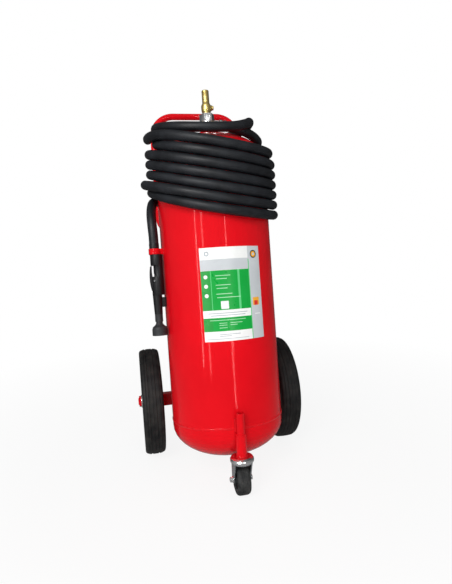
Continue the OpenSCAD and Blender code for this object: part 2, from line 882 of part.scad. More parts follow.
module outlet_ferrule() {
    x0 = outlet_bend + union_len;
    len = outlet_reach - x0;
    color("#b9bcbf") on_outlet() translate([x0, -outlet_fore, 0])
        rotate([0, 90, 0]) difference() {
            union() {
                cylinder(r = ferrule_r, h = len);
                for (k = [0.22, 0.62]) translate([0, 0, k * len])
                    cylinder(r = ferrule_r + 0.9, h = 2.6);
            }
            translate([0, 0, -1]) cylinder(r = outlet_bore_r, h = len - 2);
        }
}

// ---------------------------------------------------------------- hose

function unit(v) = v / norm(v);
function bump(u, c, w) = abs(u - c) < w ? pow(cos(90 * (u - c) / w), 2) : 0;

// Centre line of the winding, u in turns from its left end
function coil_point(u) = let (a = 180 + 360 * u, x = cos(a), y = sin(a),
        r = coil_r - tuck_in * bump(u, tuck_turn, tuck_width)
            - right_in * bump(u, right_turn, right_width)
            + bulge_out * bump(u, bulge_turn, bulge_width))
    [r * x, r * y, coil_z - coil_pitch * u + coil_r * (coil_side * x + coil_fall * y)
        - first_drop * bump(u, first_turn, first_width)
        + right_rise * bump(u, right_turn, right_width)
        + last_rise * bump(u, last_turn, last_width)];
function coil_way(u) = unit(coil_point(u + 0.005) - coil_point(u - 0.005));

// Smooth curve through the points, as n steps over the whole list
function curve_at(p, t) = let (i = min(floor(t), len(p) - 2), f = t - i,
        a = i > 0 ? p[i - 1] : 2 * p[0] - p[1], b = p[i], c = p[i + 1],
        d = i + 2 < len(p) ? p[i + 2] : 2 * c - b)
    0.5 * (2 * b + (c - a) * f + (2 * a - 5 * b + 4 * c - d) * f * f
        + (3 * b - a - 3 * c + d) * f * f * f);
function curve(p, n) = [for (i = [0 : n]) curve_at(p, i * (len(p) - 1) / n)];

// Ring of points round p, square to the way t, its first point facing away
// from the cylinder's axis
function ring_points(p, t, r, sides) = let (out = unit([p[0], p[1], 0]),
        n = unit(out - t * (out * t)), b = cross(t, n))
    [for (k = [0 : sides - 1]) p + r * (cos(360 * k / sides) * n + sin(360 * k / sides) * b)];

module swept(path, r, sides, first_way, last_way) {
    n = len(path) - 1;
    points = [for (i = [0 : n])
        let (way = i == 0 ? first_way : i == n ? last_way : unit(path[i + 1] - path[i - 1]))
            each ring_points(path[i], way, r, sides)];
    sidewalls = [for (i = [0 : n - 1], k = [0 : sides - 1])
        let (a = i * sides + k, b = i * sides + (k + 1) % sides)
            each [[a, b, b + sides], [a, b + sides, a + sides]]];
    caps = [for (k = [1 : sides - 2])
        each [[0, k + 1, k], [n * sides, n * sides + k, n * sides + k + 1]]];
    polyhedron(points = points, faces = [for (f = concat(sidewalls, caps)) [f[0], f[2], f[1]]]);
}

outlet_way = [cos(outlet_tilt), 0, -sin(outlet_tilt)];
lead_start = [0, -outlet_fore, outlet_z] + outlet_reach * outlet_way;
coil_first = coil_point(0) - hose_d * coil_way(0);
coil_last = coil_point(coil_turns) + hose_d * coil_way(coil_turns);
tail_end = [gun_r * cos(gun_angle), gun_r * sin(gun_angle), gun_top + gun_ferrule_len];
coil_path = concat([coil_first],
    [for (i = [0 : coil_turns * coil_rings]) coil_point(i / coil_rings)], [coil_last]);

// Least gap between any two turns, measured between the centre points
coil_gap = min([for (i = [0 : len(coil_path) - 1])
    for (j = [i + coil_rings / 2 : 1 : min(i + coil_rings * 3 / 2, len(coil_path) - 1)])
        norm(coil_path[i] - coil_path[j])]) - hose_d;
echo(least_gap_of_the_winding_to_itself = coil_gap);

module hose_lead() {
    path = curve(concat([lead_start], LEAD_POINTS, [coil_first]), lead_rings);
    color("#2e3033") on_cylinder() swept(path, hose_r, cord_sides, outlet_way, coil_way(0));
}

module hose_coil() {
    color("#2e3033") on_cylinder()
        swept(coil_path, hose_r, coil_sides, coil_way(0), coil_way(coil_turns));
}

module hose_tail() {
    path = curve(concat([coil_last], TAIL_POINTS, [tail_end]), tail_rings);
    color("#2e3033") on_cylinder()
        swept(path, hose_r, cord_sides, coil_way(coil_turns), [0, 0, -1]);
}

// ---------------------------------------------------------------- gun

module gun_ferrule() {
    color("#2a2b2c") on_gun() translate([0, 0, gun_top]) difference() {
        cylinder(r = gun_ferrule_r, h = gun_ferrule_len);
        translate([0, 0, -1]) cylinder(r = gun_bore_r, h = gun_ferrule_len - 3);
    }
}

module nozzle_clip() {
    color("#c8141c") difference() {
        on_gun() translate([0, 0, clip_low]) union() {
            cylinder(r = gun_ferrule_r + clip_t, h = clip_h);
            translate([-gun_r + cylinder_r - 5, -7, 0]) cube([gun_r - cylinder_r + 5, 14, clip_h]);
        }
        on_gun() translate([0, 0, clip_low - 1]) cylinder(r = gun_ferrule_r, h = clip_h + 2);
        on_cylinder() cylinder(r = cylinder_r, h = shell_len);
    }
}

module nozzle_rest() {
    color("#3a1416") difference() {
        on_gun() translate([-gun_r + cylinder_r - 5, -rest_w / 2, rest_z])
            cube([gun_r - cylinder_r + 3, rest_w, rest_h]);
        discharge_solid(0);
        on_cylinder() cylinder(r = cylinder_r, h = shell_len);
    }
}

module gun_body() {
    color("#2a2b2c") on_gun() difference() {
        union() {
            translate([-gun_back, 0, gun_top - head_h]) cylinder(r = gun_body_r, h = head_h);
            translate([-gun_back, 0, gun_low]) cylinder(r = gun_body_r, h = hub_h);
            translate([-waist_back, 0, gun_low]) cylinder(r = waist_r, h = gun_len - 2);
        }
        translate([lever_x - lever_boss_r - 1, -lever_slot / 2, gun_low + 8])
            cube([40, lever_slot, hub_h]);
        translate([lever_x, 0, lever_z]) rotate([90, 0, 0])
            cylinder(r = lever_pin_r, h = 2 * gun_body_r + 2, center = true);
        translate([-bore_back, 0, gun_low - 1]) cylinder(r = gun_bore_r - 1, h = gun_len + 2);
        translate([-bore_back, 0, plunger_z]) rotate([0, 90, 0])
            cylinder(r = plunger_r + run_fit, h = 30);
    }
}

module lever_pin() {
    half = sqrt(pow(gun_body_r, 2) - pow(lever_x + gun_back, 2)) - 0.2;
    color("silver") on_gun() translate([lever_x, 0, lever_z]) rotate([90, 0, 0])
        cylinder(r = lever_pin_r, h = 2 * half, center = true);
}

// Side profile of the lever: X out from the gun, Y along its axis, both from
// the pin
module lever_profile() {
    polygon([[3.2, gun_len - head_h - 38 - 1.5], [5.4, gun_len - head_h - 38 - 1.5],
        [6.1, 34], [7.6, 24], [8.3, 10], [8.3, -2], [7, -14], [4.6, -26], [2.2, -26],
        [0.5, -14], [-1.5, -4], [-1.5, 4], [2.6, 9], [3.6, 24]]);
}

module gun_lever() {
    color("#2a2b2c") on_gun() translate([lever_x, 0, lever_z]) rotate([90, 0, 0])
        difference() {
            union() {
                linear_extrude(height = lever_w, center = true) lever_profile();
                cylinder(r = lever_boss_r, h = lever_w, center = true);
            }
            cylinder(r = lever_pin_r + run_fit, h = lever_w + 2, center = true);
        }
}

module gun_plunger() {
    color("silver") on_gun() translate([0, 0, plunger_z]) rotate([0, 90, 0])
        cylinder(r = plunger_r, h = lever_x - 2 * seat_gap);
}

// The discharge tube, grown by a gap for what holds it
module discharge_solid(gap) {
    on_gun() {
        translate([0, 0, tube_low + ring_len + 8])
            cylinder(r1 = tube_low_r + gap, r2 = tube_top_r + gap, h = tube_len - ring_len - 8);
    }
}

module discharge_tube() {
    color("#2a2b2c") difference() {
        union() {
            discharge_solid(0);
            on_gun() translate([0, 0, tube_low + 4]) cylinder(r = 7, h = ring_len + 4 + eps);
        }
        on_gun() translate([0, 0, tube_low]) cylinder(r = gun_bore_r, h = tube_len + 2);
    }
}

module knurled_ring() {
    color("#4a4b4d") on_gun() translate([0, 0, tube_low + 8]) difference() {
        cylinder(r = ring_r, h = ring_len);
        translate([0, 0, -1]) cylinder(r = 7, h = ring_len + 2);
        for (i = [0 : 23]) rotate([0, 0, i * 15])
            translate([ring_r + 0.5, 0, ring_len / 2])
                cube([1.8, 1.2, ring_len - 4], center = true);
    }
}

module nozzle_cup() {
    color("#333435") on_gun() translate([0, 0, cup_low]) rotate_extrude() polygon([
        [cup_r, 0], [cup_r, cup_len - 12], [cup_r - 2, cup_len - 6], [cup_r - 8, cup_len - 1],
        [9.5, cup_len + 2], [8.5, cup_len + 8], [7, cup_len + 8], [7, cup_len - 1.5],
        [cup_r - 9, cup_len - 3], [cup_r - cup_wall - 2, cup_len - 8],
        [cup_r - cup_wall, cup_len - 13], [cup_r - cup_wall, 0]]);
}

cylinder_shell();
bottom_head();
top_head();
seam_welds();
neck_boss();
dip_tube();
label_plate();
axle_beam();
axle_plugs();
axle_saddles();
axle_shaft();
axle_collars();
axle_washers();
hub_nuts();
left_tyre();
left_rim();
left_bushes();
right_tyre();
right_rim();
right_bushes();
caster_socket();
caster_stem();
stem_welds();
caster_king_pin();
caster_race();
caster_balls();
caster_fork();
caster_bolt();
caster_nut();
caster_sleeve();
caster_core();
caster_tyre();
carry_handle();
handle_feet();
handle_pads();
valve_body();
valve_seal();
collar_nut();
filling_valve();
filling_core();
filling_spring();
port_plug();
outlet_elbow();
outlet_union();
outlet_ferrule();
hose_lead();
hose_coil();
hose_tail();
nozzle_clip();
nozzle_rest();
gun_ferrule();
gun_body();
gun_lever();
lever_pin();
gun_plunger();
discharge_tube();
knurled_ring();
nozzle_cup();
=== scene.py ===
"""A wheeled fire extinguisher: the looks of every piece, laid out as an add-on."""

import math

import bmesh
import bpy
from mathutils import Matrix, Vector


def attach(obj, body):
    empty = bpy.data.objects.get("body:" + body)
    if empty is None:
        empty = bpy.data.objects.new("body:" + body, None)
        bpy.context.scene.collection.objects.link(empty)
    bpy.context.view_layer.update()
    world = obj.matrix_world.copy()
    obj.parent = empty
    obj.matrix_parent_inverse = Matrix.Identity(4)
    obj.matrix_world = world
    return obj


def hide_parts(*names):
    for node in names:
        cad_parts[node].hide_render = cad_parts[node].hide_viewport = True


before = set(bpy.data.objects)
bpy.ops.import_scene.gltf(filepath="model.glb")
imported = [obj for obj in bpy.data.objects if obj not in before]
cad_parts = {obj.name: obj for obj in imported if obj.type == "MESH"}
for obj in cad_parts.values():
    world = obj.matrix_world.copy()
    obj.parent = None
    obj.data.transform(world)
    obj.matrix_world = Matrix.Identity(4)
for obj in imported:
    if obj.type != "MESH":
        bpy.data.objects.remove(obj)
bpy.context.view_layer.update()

bl_info = {
    "name": "Wheeled Fire Extinguisher",
    "version": (1, 0, 0),
    "blender": (4, 5, 0),
    "location": "3D Viewport > Sidebar > Extinguisher",
    "description": "Builds the looks of a wheeled fire extinguisher on its fixed frame",
    "category": "Object",
}

MM = 0.001


# ------------------------------------------------------------------ frames

LEAN = math.radians(6)
# The shell's radius and length, in millimetres
CYLINDER_R, SHELL_LEN = 150, 672
# How far back the road wheels' axle is, and how high, in metres
AXLE_Y, AXLE_Z = 0.1031817, 0.156
# The vessel's own frame: Z up its axis from the lower girth seam
VESSEL = (
    Matrix.Translation((0, AXLE_Y, AXLE_Z))
    @ Matrix.Rotation(-LEAN, 4, "X")
    @ Matrix.Translation((0, -0.1692, -0.019))
)
# Where the gun hangs: round the vessel, and out from its axis in millimetres
GUN_ANGLE, GUN_R = math.radians(189.4), 172.3
# The caster's swivel line, and the line of its wheel
SWIVEL = Matrix.Translation((0, -0.2296817, 0))
ACROSS = Matrix.Rotation(math.pi / 2, 4, "Y")
CASTER_AXLE = Matrix.Translation((0, -0.2146817, 0.04)) @ ACROSS


def axle(x):
    """The frame of a road wheel: Z along the axle, from its middle at x millimetres."""
    return Matrix.Translation((x * MM, AXLE_Y, AXLE_Z)) @ ACROSS


# --------------------------------------------------------------- materials


def linear(colour):
    """Linear red, green, blue and alpha of a hex sRGB colour."""
    parts = [int(colour[i : i + 2], 16) / 255 for i in (1, 3, 5)]
    return tuple(c / 12.92 if c <= 0.04045 else ((c + 0.055) / 1.055) ** 2.4 for c in parts) + (1.0,)


def per(size):
    """Scale of a pattern on metre coordinates whose grain is that many millimetres."""
    return 1000 / size


def add(beside, kind, inputs=(), **settings):
    """One more shader node, in that tree or that socket's tree.

    Its inputs are given in order, or by name or number. Each is a value, a hex
    colour or a socket to link from.
    """
    tree = beside.id_data
    node = tree.nodes.new("ShaderNode" + kind)
    for name, value in settings.items():
        setattr(node, name, value)
    for name, value in inputs.items() if isinstance(inputs, dict) else enumerate(inputs):
        if isinstance(value, bpy.types.NodeSocket):
            tree.links.new(value, node.inputs[name])
        else:
            node.inputs[name].default_value = linear(value) if isinstance(value, str) else value
    return node


def finish_of(name, **shader):
    """A new material, its shader with those socket values, and its object coordinates."""
    material = bpy.data.materials.new(name)
    material.use_nodes = True
    tree = material.node_tree
    tree.nodes.clear()
    surface = add(tree, "BsdfPrincipled", {k.replace("_", " "): v for k, v in shader.items()})
    add(tree, "OutputMaterial", {"Surface": surface.outputs["BSDF"]})
    return material, surface, add(tree, "TexCoord").outputs["Object"]


def worked(material, surface, where, grains, shade, layers, rough, bumps, **drawn):
    """Gives a finish its colour, roughness and bumps from patterns, and hands it back.

    Its grains are noise: size in millimetres, detail and roughness. Other patterns
    come drawn. Each layer over its shade is a pattern, from where to where in it,
    how much there is at most, and a colour. Its roughness is a pattern, from where
    to where in it, and the values there. Each bump is a pattern, how strong it is,
    and its depth in millimetres.
    """
    for name, (size, detail, share) in grains.items():
        inputs = {"Vector": where, "Scale": per(size), "Detail": detail, "Roughness": share}
        drawn[name] = add(where, "TexNoise", inputs).outputs["Fac"]
    for name, low, high, most, colour in layers:
        part = add(where, "MapRange", (drawn[name], low, high, 0, most)).outputs["Result"]
        shade = add(where, "Mix", {0: part, 6: shade, 7: colour}, data_type="RGBA").outputs[2]
    links, normal = material.node_tree.links, None
    links.new(shade, surface.inputs["Base Color"])
    rough = add(where, "MapRange", (drawn[rough[0]], *rough[1:])).outputs["Result"]
    links.new(rough, surface.inputs["Roughness"])
    for name, strength, depth in bumps:
        inputs = {"Height": drawn[name], "Strength": strength, "Distance": depth * MM}
        if normal is not None:
            inputs["Normal"] = normal
        normal = add(where, "Bump", inputs).outputs["Normal"]
    links.new(normal, surface.inputs["Normal"])
    return material


# What the enamel's own shine is tinted with, under its clear coat
SHINE = "#FF4A4A"


def red_enamel(colour, name="red_enamel", orange_peel=0.12, wave=0.30):
    # Stoved alkyd enamel, sprayed on rolled sheet: deep, wet gloss over a
    # faint orange peel, with slow waves of the sheet that bend reflections
    base = finish_of(
        name, IOR=1.45, Specular_IOR_Level=0.26, Specular_Tint=SHINE,
        Coat_Weight=0.24, Coat_Roughness=0.05, Coat_IOR=1.45,
    )
    grains = {
        "cloud": (140, 2.0, 0.5), "dust": (9, 6.0, 0.65), "peel": (2.2, 2.0, 0.5),
        "sheet": (75, 1.0, 0.5), "scuff": (26, 8.0, 0.7),
    }
    return worked(
        *base, grains, colour,
        [("cloud", 0.35, 0.65, 0.22, "#B80A12"), ("scuff", 0.66, 0.72, 0.35, "#D0262E")],
        ("dust", 0.3, 0.75, 0.10, 0.20), [("sheet", wave, 1.6), ("peel", orange_peel, 0.05)],
    )


def weld_enamel(colour):
    # The same enamel where it has run over a rippled weld bead: fuller and
    # a little duller, with dirt held in the ripples
    base = finish_of(
        "weld_enamel", IOR=1.45, Specular_IOR_Level=0.35, Specular_Tint=SHINE,
        Coat_Weight=0.4, Coat_Roughness=0.08, Coat_IOR=1.45,
    )
    return worked(
        *base, {"lump": (4, 3.0, 0.5), "dirt": (14, 5.0, 0.6)}, colour,
        [("dirt", 0.45, 0.7, 0.3, "#A00D14")], ("lump", 0.3, 0.7, 0.2, 0.4), [("lump", 0.35, 0.5)],
    )


def nickel_chrome():
    # Brass plated with nickel and chromium, then buffed: a cool mirror with
    # hairline buffing marks and a little haze in patches
    return worked(
        *finish_of("nickel_chrome_plate", Metallic=1.0),
        {"haze": (12, 5.0, 0.6), "lines": (0.7, 2.0, 0.5)}, "#DEE0E0", [("haze", 0, 1, 1, "#F2F3F3")],
        ("haze", 0.35, 0.75, 0.10, 0.26), [("lines", 0.06, 0.05)],
    )


def zinc_plate(name, light, dark, grain, rough):
    # Sheet steel with a zinc coat: cool grey, the coat's crystals catch the
    # light in patches, and white bloom sits in the corners
    material, surface, where = finish_of(name, Metallic=1.0)
    crystal = add(where, "TexVoronoi", {"Vector": where, "Scale": per(grain), "Randomness": 1.0})
    return worked(
        material, surface, where, {"bloom": (18, 6.0, 0.65)}, dark,
        [("grey", 0, 1, 1, light), ("bloom", 0.52, 0.72, 0.5, "#D9DBD9")],
        ("grey", 0.2, 0.8, rough - 0.08, rough + 0.12), [("bloom", 0.12, 0.2)],
        grey=add(where, "RGBToBW", {"Color": crystal.outputs["Color"]}).outputs["Val"],
    )


def turned_steel():
    # Bright drawn bar, cut on a lathe: fine rings across it and thin oil
    material, surface, where = finish_of("bright_turned_steel", Metallic=1.0)
    rings = {"Vector": where, "Scale": per(4), "Distortion": 0.6, "Detail": 2.0}
    return worked(
        material, surface, where, {"oil": (10, 4.0, 0.5)}, "#8F9193", [("oil", 0, 1, 1, "#C3C5C6")],
        ("oil", 0.3, 0.7, 0.2, 0.36), [("rings", 0.08, 0.08)],
        rings=add(where, "TexWave", rings, bands_direction="X").outputs["Fac"],
    )


def free_cutting_brass(colour):
    # Turned brass, lacquered: warm yellow, tool lines round it, browner
    # where hands and air have tarnished it
    material, surface, where = finish_of("turned_brass", Metallic=1.0)
    lines = {"Vector": where, "Scale": per(3.2), "Distortion": 0.4, "Detail": 1.0}
    return worked(
        material, surface, where, {"tarnish": (11, 6.0, 0.62)}, colour,
        [("tarnish", 0.46, 0.76, 0.6, "#C9AE68")], ("tarnish", 0.35, 0.7, 0.30, 0.46),
        [("lines", 0.10, 0.06)], lines=add(where, "TexWave", lines, bands_direction="Z").outputs["Fac"],
    )


def hose_rubber(colour):
    # Black EPDM hose, cured under wound cloth tape: satin, with the tape's
    # fine weave and its slow spiral edge, and grey bloom along the crowns
    material, surface, where = finish_of("cloth_cured_rubber", IOR=1.52, Specular_IOR_Level=0.35)
    own = add(where, "TexCoord").outputs["UV"]
    # The weave is 0.9 mm on the real tape and is drawn 2 mm wide
    woven = add(where, "Mapping", {"Vector": own, "Scale": (4500, 40, 1)}).outputs["Vector"]
    wound = {"Vector": own, "Scale": (180, 1, 1), "Rotation": (0, 0, 0.01)}
    wound = add(where, "Mapping", wound).outputs["Vector"]
    spiral = {"Vector": wound, "Scale": 0.318, "Distortion": 0.4, "Detail": 1.0}
    return worked(
        material, surface, where, {"bloom": (45, 6.0, 0.6)}, colour,
        [("bloom", 0.4, 0.75, 0.55, "#2B2F35")], ("bloom", 0.35, 0.7, 0.40, 0.56),
        [("spiral", 0.12, 0.25), ("weave", 0.08, 0.1)],
        weave=add(where, "TexChecker", {"Vector": woven, "Scale": 1.0}).outputs["Fac"],
        spiral=add(where, "TexWave", spiral, wave_profile="SAW").outputs["Fac"],
    )


def tyre_rubber(name, colour, dust):
    # Solid moulded rubber: matt black with carbon, dust ground into it and
    # grey scuffs on the crown
    return worked(
        *finish_of(name, IOR=1.5, Specular_IOR_Level=0.3),
        {"grime": (22, 8.0, 0.68), "grit": (1.4, 3.0, 0.5)}, colour, [("grime", 0.42, 0.75, 0.6, dust)],
        ("grime", 0.3, 0.75, 0.48, 0.74), [("grime", 0.15, 0.4), ("grit", 0.25, 0.12)],
    )


def moulded_plastic(name, colour, paler, rough=0.42, grain=0.9):
    # Injection moulded plastic: the even spark texture of the mould, rubbed
    # smoother and paler where it is handled
    return worked(
        *finish_of(name, IOR=1.49, Specular_IOR_Level=0.35),
        {"handled": (30, 5.0, 0.6), "spark": (grain, 2.0, 0.5)}, colour,
        [("handled", 0.45, 0.75, 0.6, paler)],
        ("handled", 0.3, 0.7, rough + 0.1, rough - 0.06), [("spark", 0.22, 0.08)],
    )


def label_ink(name, colour, faded):
    # Printed vinyl under a clear gloss film: even ink with fine screen dots,
    # slightly faded, its film shallowly wavy where it was rolled on
    material, surface, where = finish_of(name, IOR=1.5, Specular_IOR_Level=0.35)
    dots = add(where, "TexVoronoi", {"Vector": where, "Scale": per(1.2), "Randomness": 0.1})
    return worked(
        material, surface, where, {"fade": (60, 3.0, 0.5), "film": (28, 1.0, 0.5)}, colour,
        [("fade", 0.35, 0.7, 0.5, faded), ("dots", 0.1, 0.5, 0.10, faded)],
        ("fade", 0.3, 0.7, 0.24, 0.36), [("film", 0.12, 0.5)], dots=dots.outputs["Distance"],
    )


FINISHES = {}


def stock(scene):
    """Makes every finish of the object, once."""
    if FINISHES:
        return
    settings = scene.extinguisher_colours
    red, brass, hose = ((*c, 1.0) for c in (settings.enamel, settings.brass, settings.hose))
    FINISHES.update(
        enamel=red_enamel(red),
        tube_enamel=red_enamel(red, "red_tube_enamel", 0.2, 0.05),
        weld=weld_enamel(red),
        chrome=nickel_chrome(),
        zinc=zinc_plate("bright_zinc_plate", "#D3D6D8", "#A4A9AC", 3.0, 0.24),
        galvanised=zinc_plate("galvanised_sheet", "#C4C7C8", "#94999C", 7.0, 0.42),
        steel=turned_steel(),
        brass=free_cutting_brass(brass),
        hose=hose_rubber(hose),
        tyre=tyre_rubber("solid_tyre_rubber", "#131415", "#3E3C38"),
        caster_tread=tyre_rubber("caster_tread_rubber", "#1E1F20", "#565654"),
        black=moulded_plastic("black_nylon", "#0E0F11", "#1E2023"),
        grey=moulded_plastic("charcoal_nylon", "#2A2B2D", "#45474A", 0.5),
        seal=tyre_rubber("nitrile_rubber", "#101010", "#2B2A28"),
        nylon=moulded_plastic("natural_nylon", "#E2DECF", "#F1EFE6", 0.38),
        pvc=moulded_plastic("extruded_pvc", "#C9C9C4", "#DAD9D2", 0.4, 3.0),
    )


def dress(finish, *nodes):
    """Puts a finish on the material slots of CAD nodes."""
    for name in nodes:
        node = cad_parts[name]
        if not node.material_slots:
            node.data.materials.append(FINISHES[finish])
        for place in node.material_slots:
            place.material = FINISHES[finish]


# ------------------------------------------------------------- mesh helpers


def placed(name, data):
    """A new object in the scene."""
    thing = bpy.data.objects.new(name, data)
    bpy.context.scene.collection.objects.link(thing)
    return thing


def keep(name, bm, body, finish, *stands_for, at=None, slot=None, smooth=32, outward=True):
    """Makes a bmesh a piece that rides on a body and stands for some CAD nodes.

    Its place is in its mesh, and its finish can also be a list of materials.
    """
    if at is not None:
        bm.transform(at)
    if outward:
        bmesh.ops.recalc_face_normals(bm, faces=bm.faces)
    mesh = bpy.data.meshes.new(name)
    bm.to_mesh(mesh)
    bm.free()
    mesh.shade_smooth()
    mesh.set_sharp_from_angle(angle=math.radians(smooth))
    for material in [FINISHES[finish]] if isinstance(finish, str) else finish:
        mesh.materials.append(material)
    piece = placed(name, mesh)
    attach(piece, body)
    if stands_for:
        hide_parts(*stands_for)


def join(bm, part, matrix=None):
    """Adds one bmesh to another and frees it."""
    if matrix is not None:
        part.transform(matrix)
    scrap = bpy.data.meshes.new("part")
    part.to_mesh(scrap)
    part.free()
    bm.from_mesh(scrap)
    bpy.data.meshes.remove(scrap)


def turn(bm, profile, steps, closed=False):
    """Spins (radius, height) points in millimetres all the way round Z."""
    verts = [bm.verts.new((r * MM, 0, z * MM)) for r, z in profile]
    edges = [bm.edges.new(pair) for pair in zip(verts, verts[1:])]
    if closed:
        edges.append(bm.edges.new((verts[-1], verts[0])))
    bmesh.ops.spin(
        bm, geom=verts + edges, cent=(0, 0, 0), axis=(0, 0, 1), angle=2 * math.pi, steps=steps,
        use_merge=True, use_duplicate=False,
    )
    bmesh.ops.remove_doubles(bm, verts=bm.verts, dist=1e-6)


def eased(name, node, finish, body, width, angle=35, segments=2, slot=None):
    """A copy of a CAD node with its sharp edges broken by a small radius, in its place."""
    bm = bmesh.new()
    bm.from_mesh(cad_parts[node].data)
    bmesh.ops.remove_doubles(bm, verts=bm.verts, dist=2e-6)
    bmesh.ops.dissolve_limit(bm, angle_limit=math.radians(0.8), verts=bm.verts, edges=bm.edges)
    sharp = [e for e in bm.edges if len(e.link_faces) == 2 and e.calc_face_angle() > math.radians(angle)]
    bmesh.ops.bevel(
        bm, geom=sharp, offset=width * MM, segments=segments, profile=0.5, affect="EDGES",
        clamp_overlap=True, loop_slide=True, material=-1,
    )
    keep(name, bm, body, finish, node, slot=slot, outward=False)


# Sides of a weld bead, how much of it its ripples take, round a ring and along a
# line, and how much closer they are round a tube
BEAD_SIDES, RING_SHARE, LINE_SHARE, TUBE_RIPPLE = 10, 0.16, 0.18, 0.8


def bead_ring(bm, radius, bead, matrix, ripple):
    """A rippled weld bead round a tube; its sizes and ripples are in millimetres."""
    count = max(12, round(2 * math.pi * radius / (ripple * TUBE_RIPPLE)))
    arc = [2 * math.pi * k / BEAD_SIDES for k in range(BEAD_SIDES)]
    ring = [(radius + bead * math.cos(a), bead * math.sin(a)) for a in arc]
    part = bmesh.new()
    turn(part, ring, count * 4, closed=True)
    for vert in part.verts:
        along = math.atan2(vert.co.y, vert.co.x)
        core = Vector((math.cos(along), math.sin(along), 0)) * radius * MM
        vert.co = core + (vert.co - core) * (1 + RING_SHARE * math.cos(along * count))
    join(bm, part, matrix)


def bead_line(bm, start, end, radius, ripple):
    """A rippled weld bead along a straight line; its ends and sizes are in millimetres."""
    start, end = Vector(start) * MM, Vector(end) * MM
    way = (end - start).normalized()
    steps = max(4, round((end - start).length / (ripple * MM / 4)))
    made = bmesh.ops.create_circle(
        bm, cap_ends=True, segments=BEAD_SIDES, radius=radius * MM,
        matrix=Matrix.Translation(start) @ way.to_track_quat("Z", "Y").to_matrix().to_4x4(),
    )
    ring = [e for e in bm.edges if e.verts[0] in made["verts"] and e.verts[1] in made["verts"]]
    scale = 1.0
    for k in range(1, steps + 1):
        out = bmesh.ops.extrude_edge_only(bm, edges=ring)["geom"]
        verts = [g for g in out if isinstance(g, bmesh.types.BMVert)]
        ring = [g for g in out if isinstance(g, bmesh.types.BMEdge)]
        bmesh.ops.translate(bm, verts=verts, vec=(end - start) / steps)
        wanted = 1 - LINE_SHARE * 0.5 + LINE_SHARE * 0.5 * math.cos(k / 4 * 2 * math.pi)
        centre = start + (end - start) * k / steps
        for vert in verts:
            vert.co = centre + (vert.co - centre) * (wanted / scale)
        scale = wanted
    bmesh.ops.contextual_create(bm, geom=ring)


# ------------------------------------------------------------------- sizes


class ExtinguisherSizes(bpy.types.PropertyGroup):
    """Sizes of the pieces that are built here"""

    hose_diameter: bpy.props.FloatProperty(
        name="Hose diameter", description="Outside diameter of the hose", default=0.025,
        min=0.015, max=0.0254, unit="LENGTH",
    )
    hose_step: bpy.props.FloatProperty(
        name="Hose step", description="Distance between the points along the hose", default=0.007,
        min=0.004, max=0.02, unit="LENGTH",
    )
    groove_depth: bpy.props.FloatProperty(
        name="Tyre groove depth", description="Depth of the main grooves of the road tyres", default=0.0016,
        min=0.0005, max=0.004, unit="LENGTH",
    )
    bead_ripple: bpy.props.FloatProperty(
        name="Weld ripple", description="Distance between the ripples of a weld bead", default=0.004,
        min=0.002, max=0.008, unit="LENGTH",
    )
    edge_break: bpy.props.FloatProperty(
        name="Edge break", description="Radius on the edges of cut and pressed steel", default=0.0007,
        min=0.0001, max=0.001, unit="LENGTH",
    )
    label_width: bpy.props.FloatProperty(
        name="Label width", description="Width of the label round the vessel", default=0.161,
        min=0.12, max=0.161, unit="LENGTH",
    )
    label_height: bpy.props.FloatProperty(
        name="Label height", description="Height of the label", default=0.231,
        min=0.18, max=0.231, unit="LENGTH",
    )


class ExtinguisherColours(bpy.types.PropertyGroup):
    """Colours of the finishes that a user would change"""

    enamel: bpy.props.FloatVectorProperty(
        name="Enamel", description="Colour of the painted steel", subtype="COLOR", size=3,
        default=linear("#DE0F1B")[:3], min=0, max=1,
    )
    hose: bpy.props.FloatVectorProperty(
        name="Hose", description="Colour of the hose's rubber", subtype="COLOR", size=3,
        default=linear("#15171B")[:3], min=0, max=1,
    )
    brass: bpy.props.FloatVectorProperty(
        name="Brass", description="Colour of the filling valve", subtype="COLOR", size=3,
        default=linear("#EFD586")[:3], min=0, max=1,
    )
    label_panel: bpy.props.FloatVectorProperty(
        name="Label panel", description="Colour of the label's large panels", subtype="COLOR", size=3,
        default=linear("#009E38")[:3], min=0, max=1,
    )


# ------------------------------------------------------------------ camera

# Focal length in millimetres, the place in metres, and the ways to the
# picture's right, up it and into it
FOCAL = 28.166
CAMERA_PLACE = (-0.2343, -1.2684, 0.6366)
CAMERA_RIGHT = Vector((0.97722, -0.20695, -0.04698))
CAMERA_UP = Vector((0.06990, 0.10490, 0.99202))
CAMERA_AHEAD = Vector((0.20037, 0.97271, -0.11698))


class CameraOperator(bpy.types.Operator):
    """Sets the camera in front of the vessel, a little to its left"""

    bl_idname = "extinguisher.camera"
    bl_label = "Camera"

    def execute(self, context):
        lens = bpy.data.cameras.new("camera")
        lens.sensor_width = 36
        lens.lens = FOCAL
        lens.clip_start, lens.clip_end = 0.05, 60
        camera = placed("camera", lens)
        turned = Matrix((CAMERA_RIGHT, CAMERA_UP, -CAMERA_AHEAD)).transposed().to_4x4()
        camera.matrix_world = Matrix.Translation(CAMERA_PLACE) @ turned
        context.scene.camera = camera
        return {"FINISHED"}


# -------------------------------------------------------------------- hose

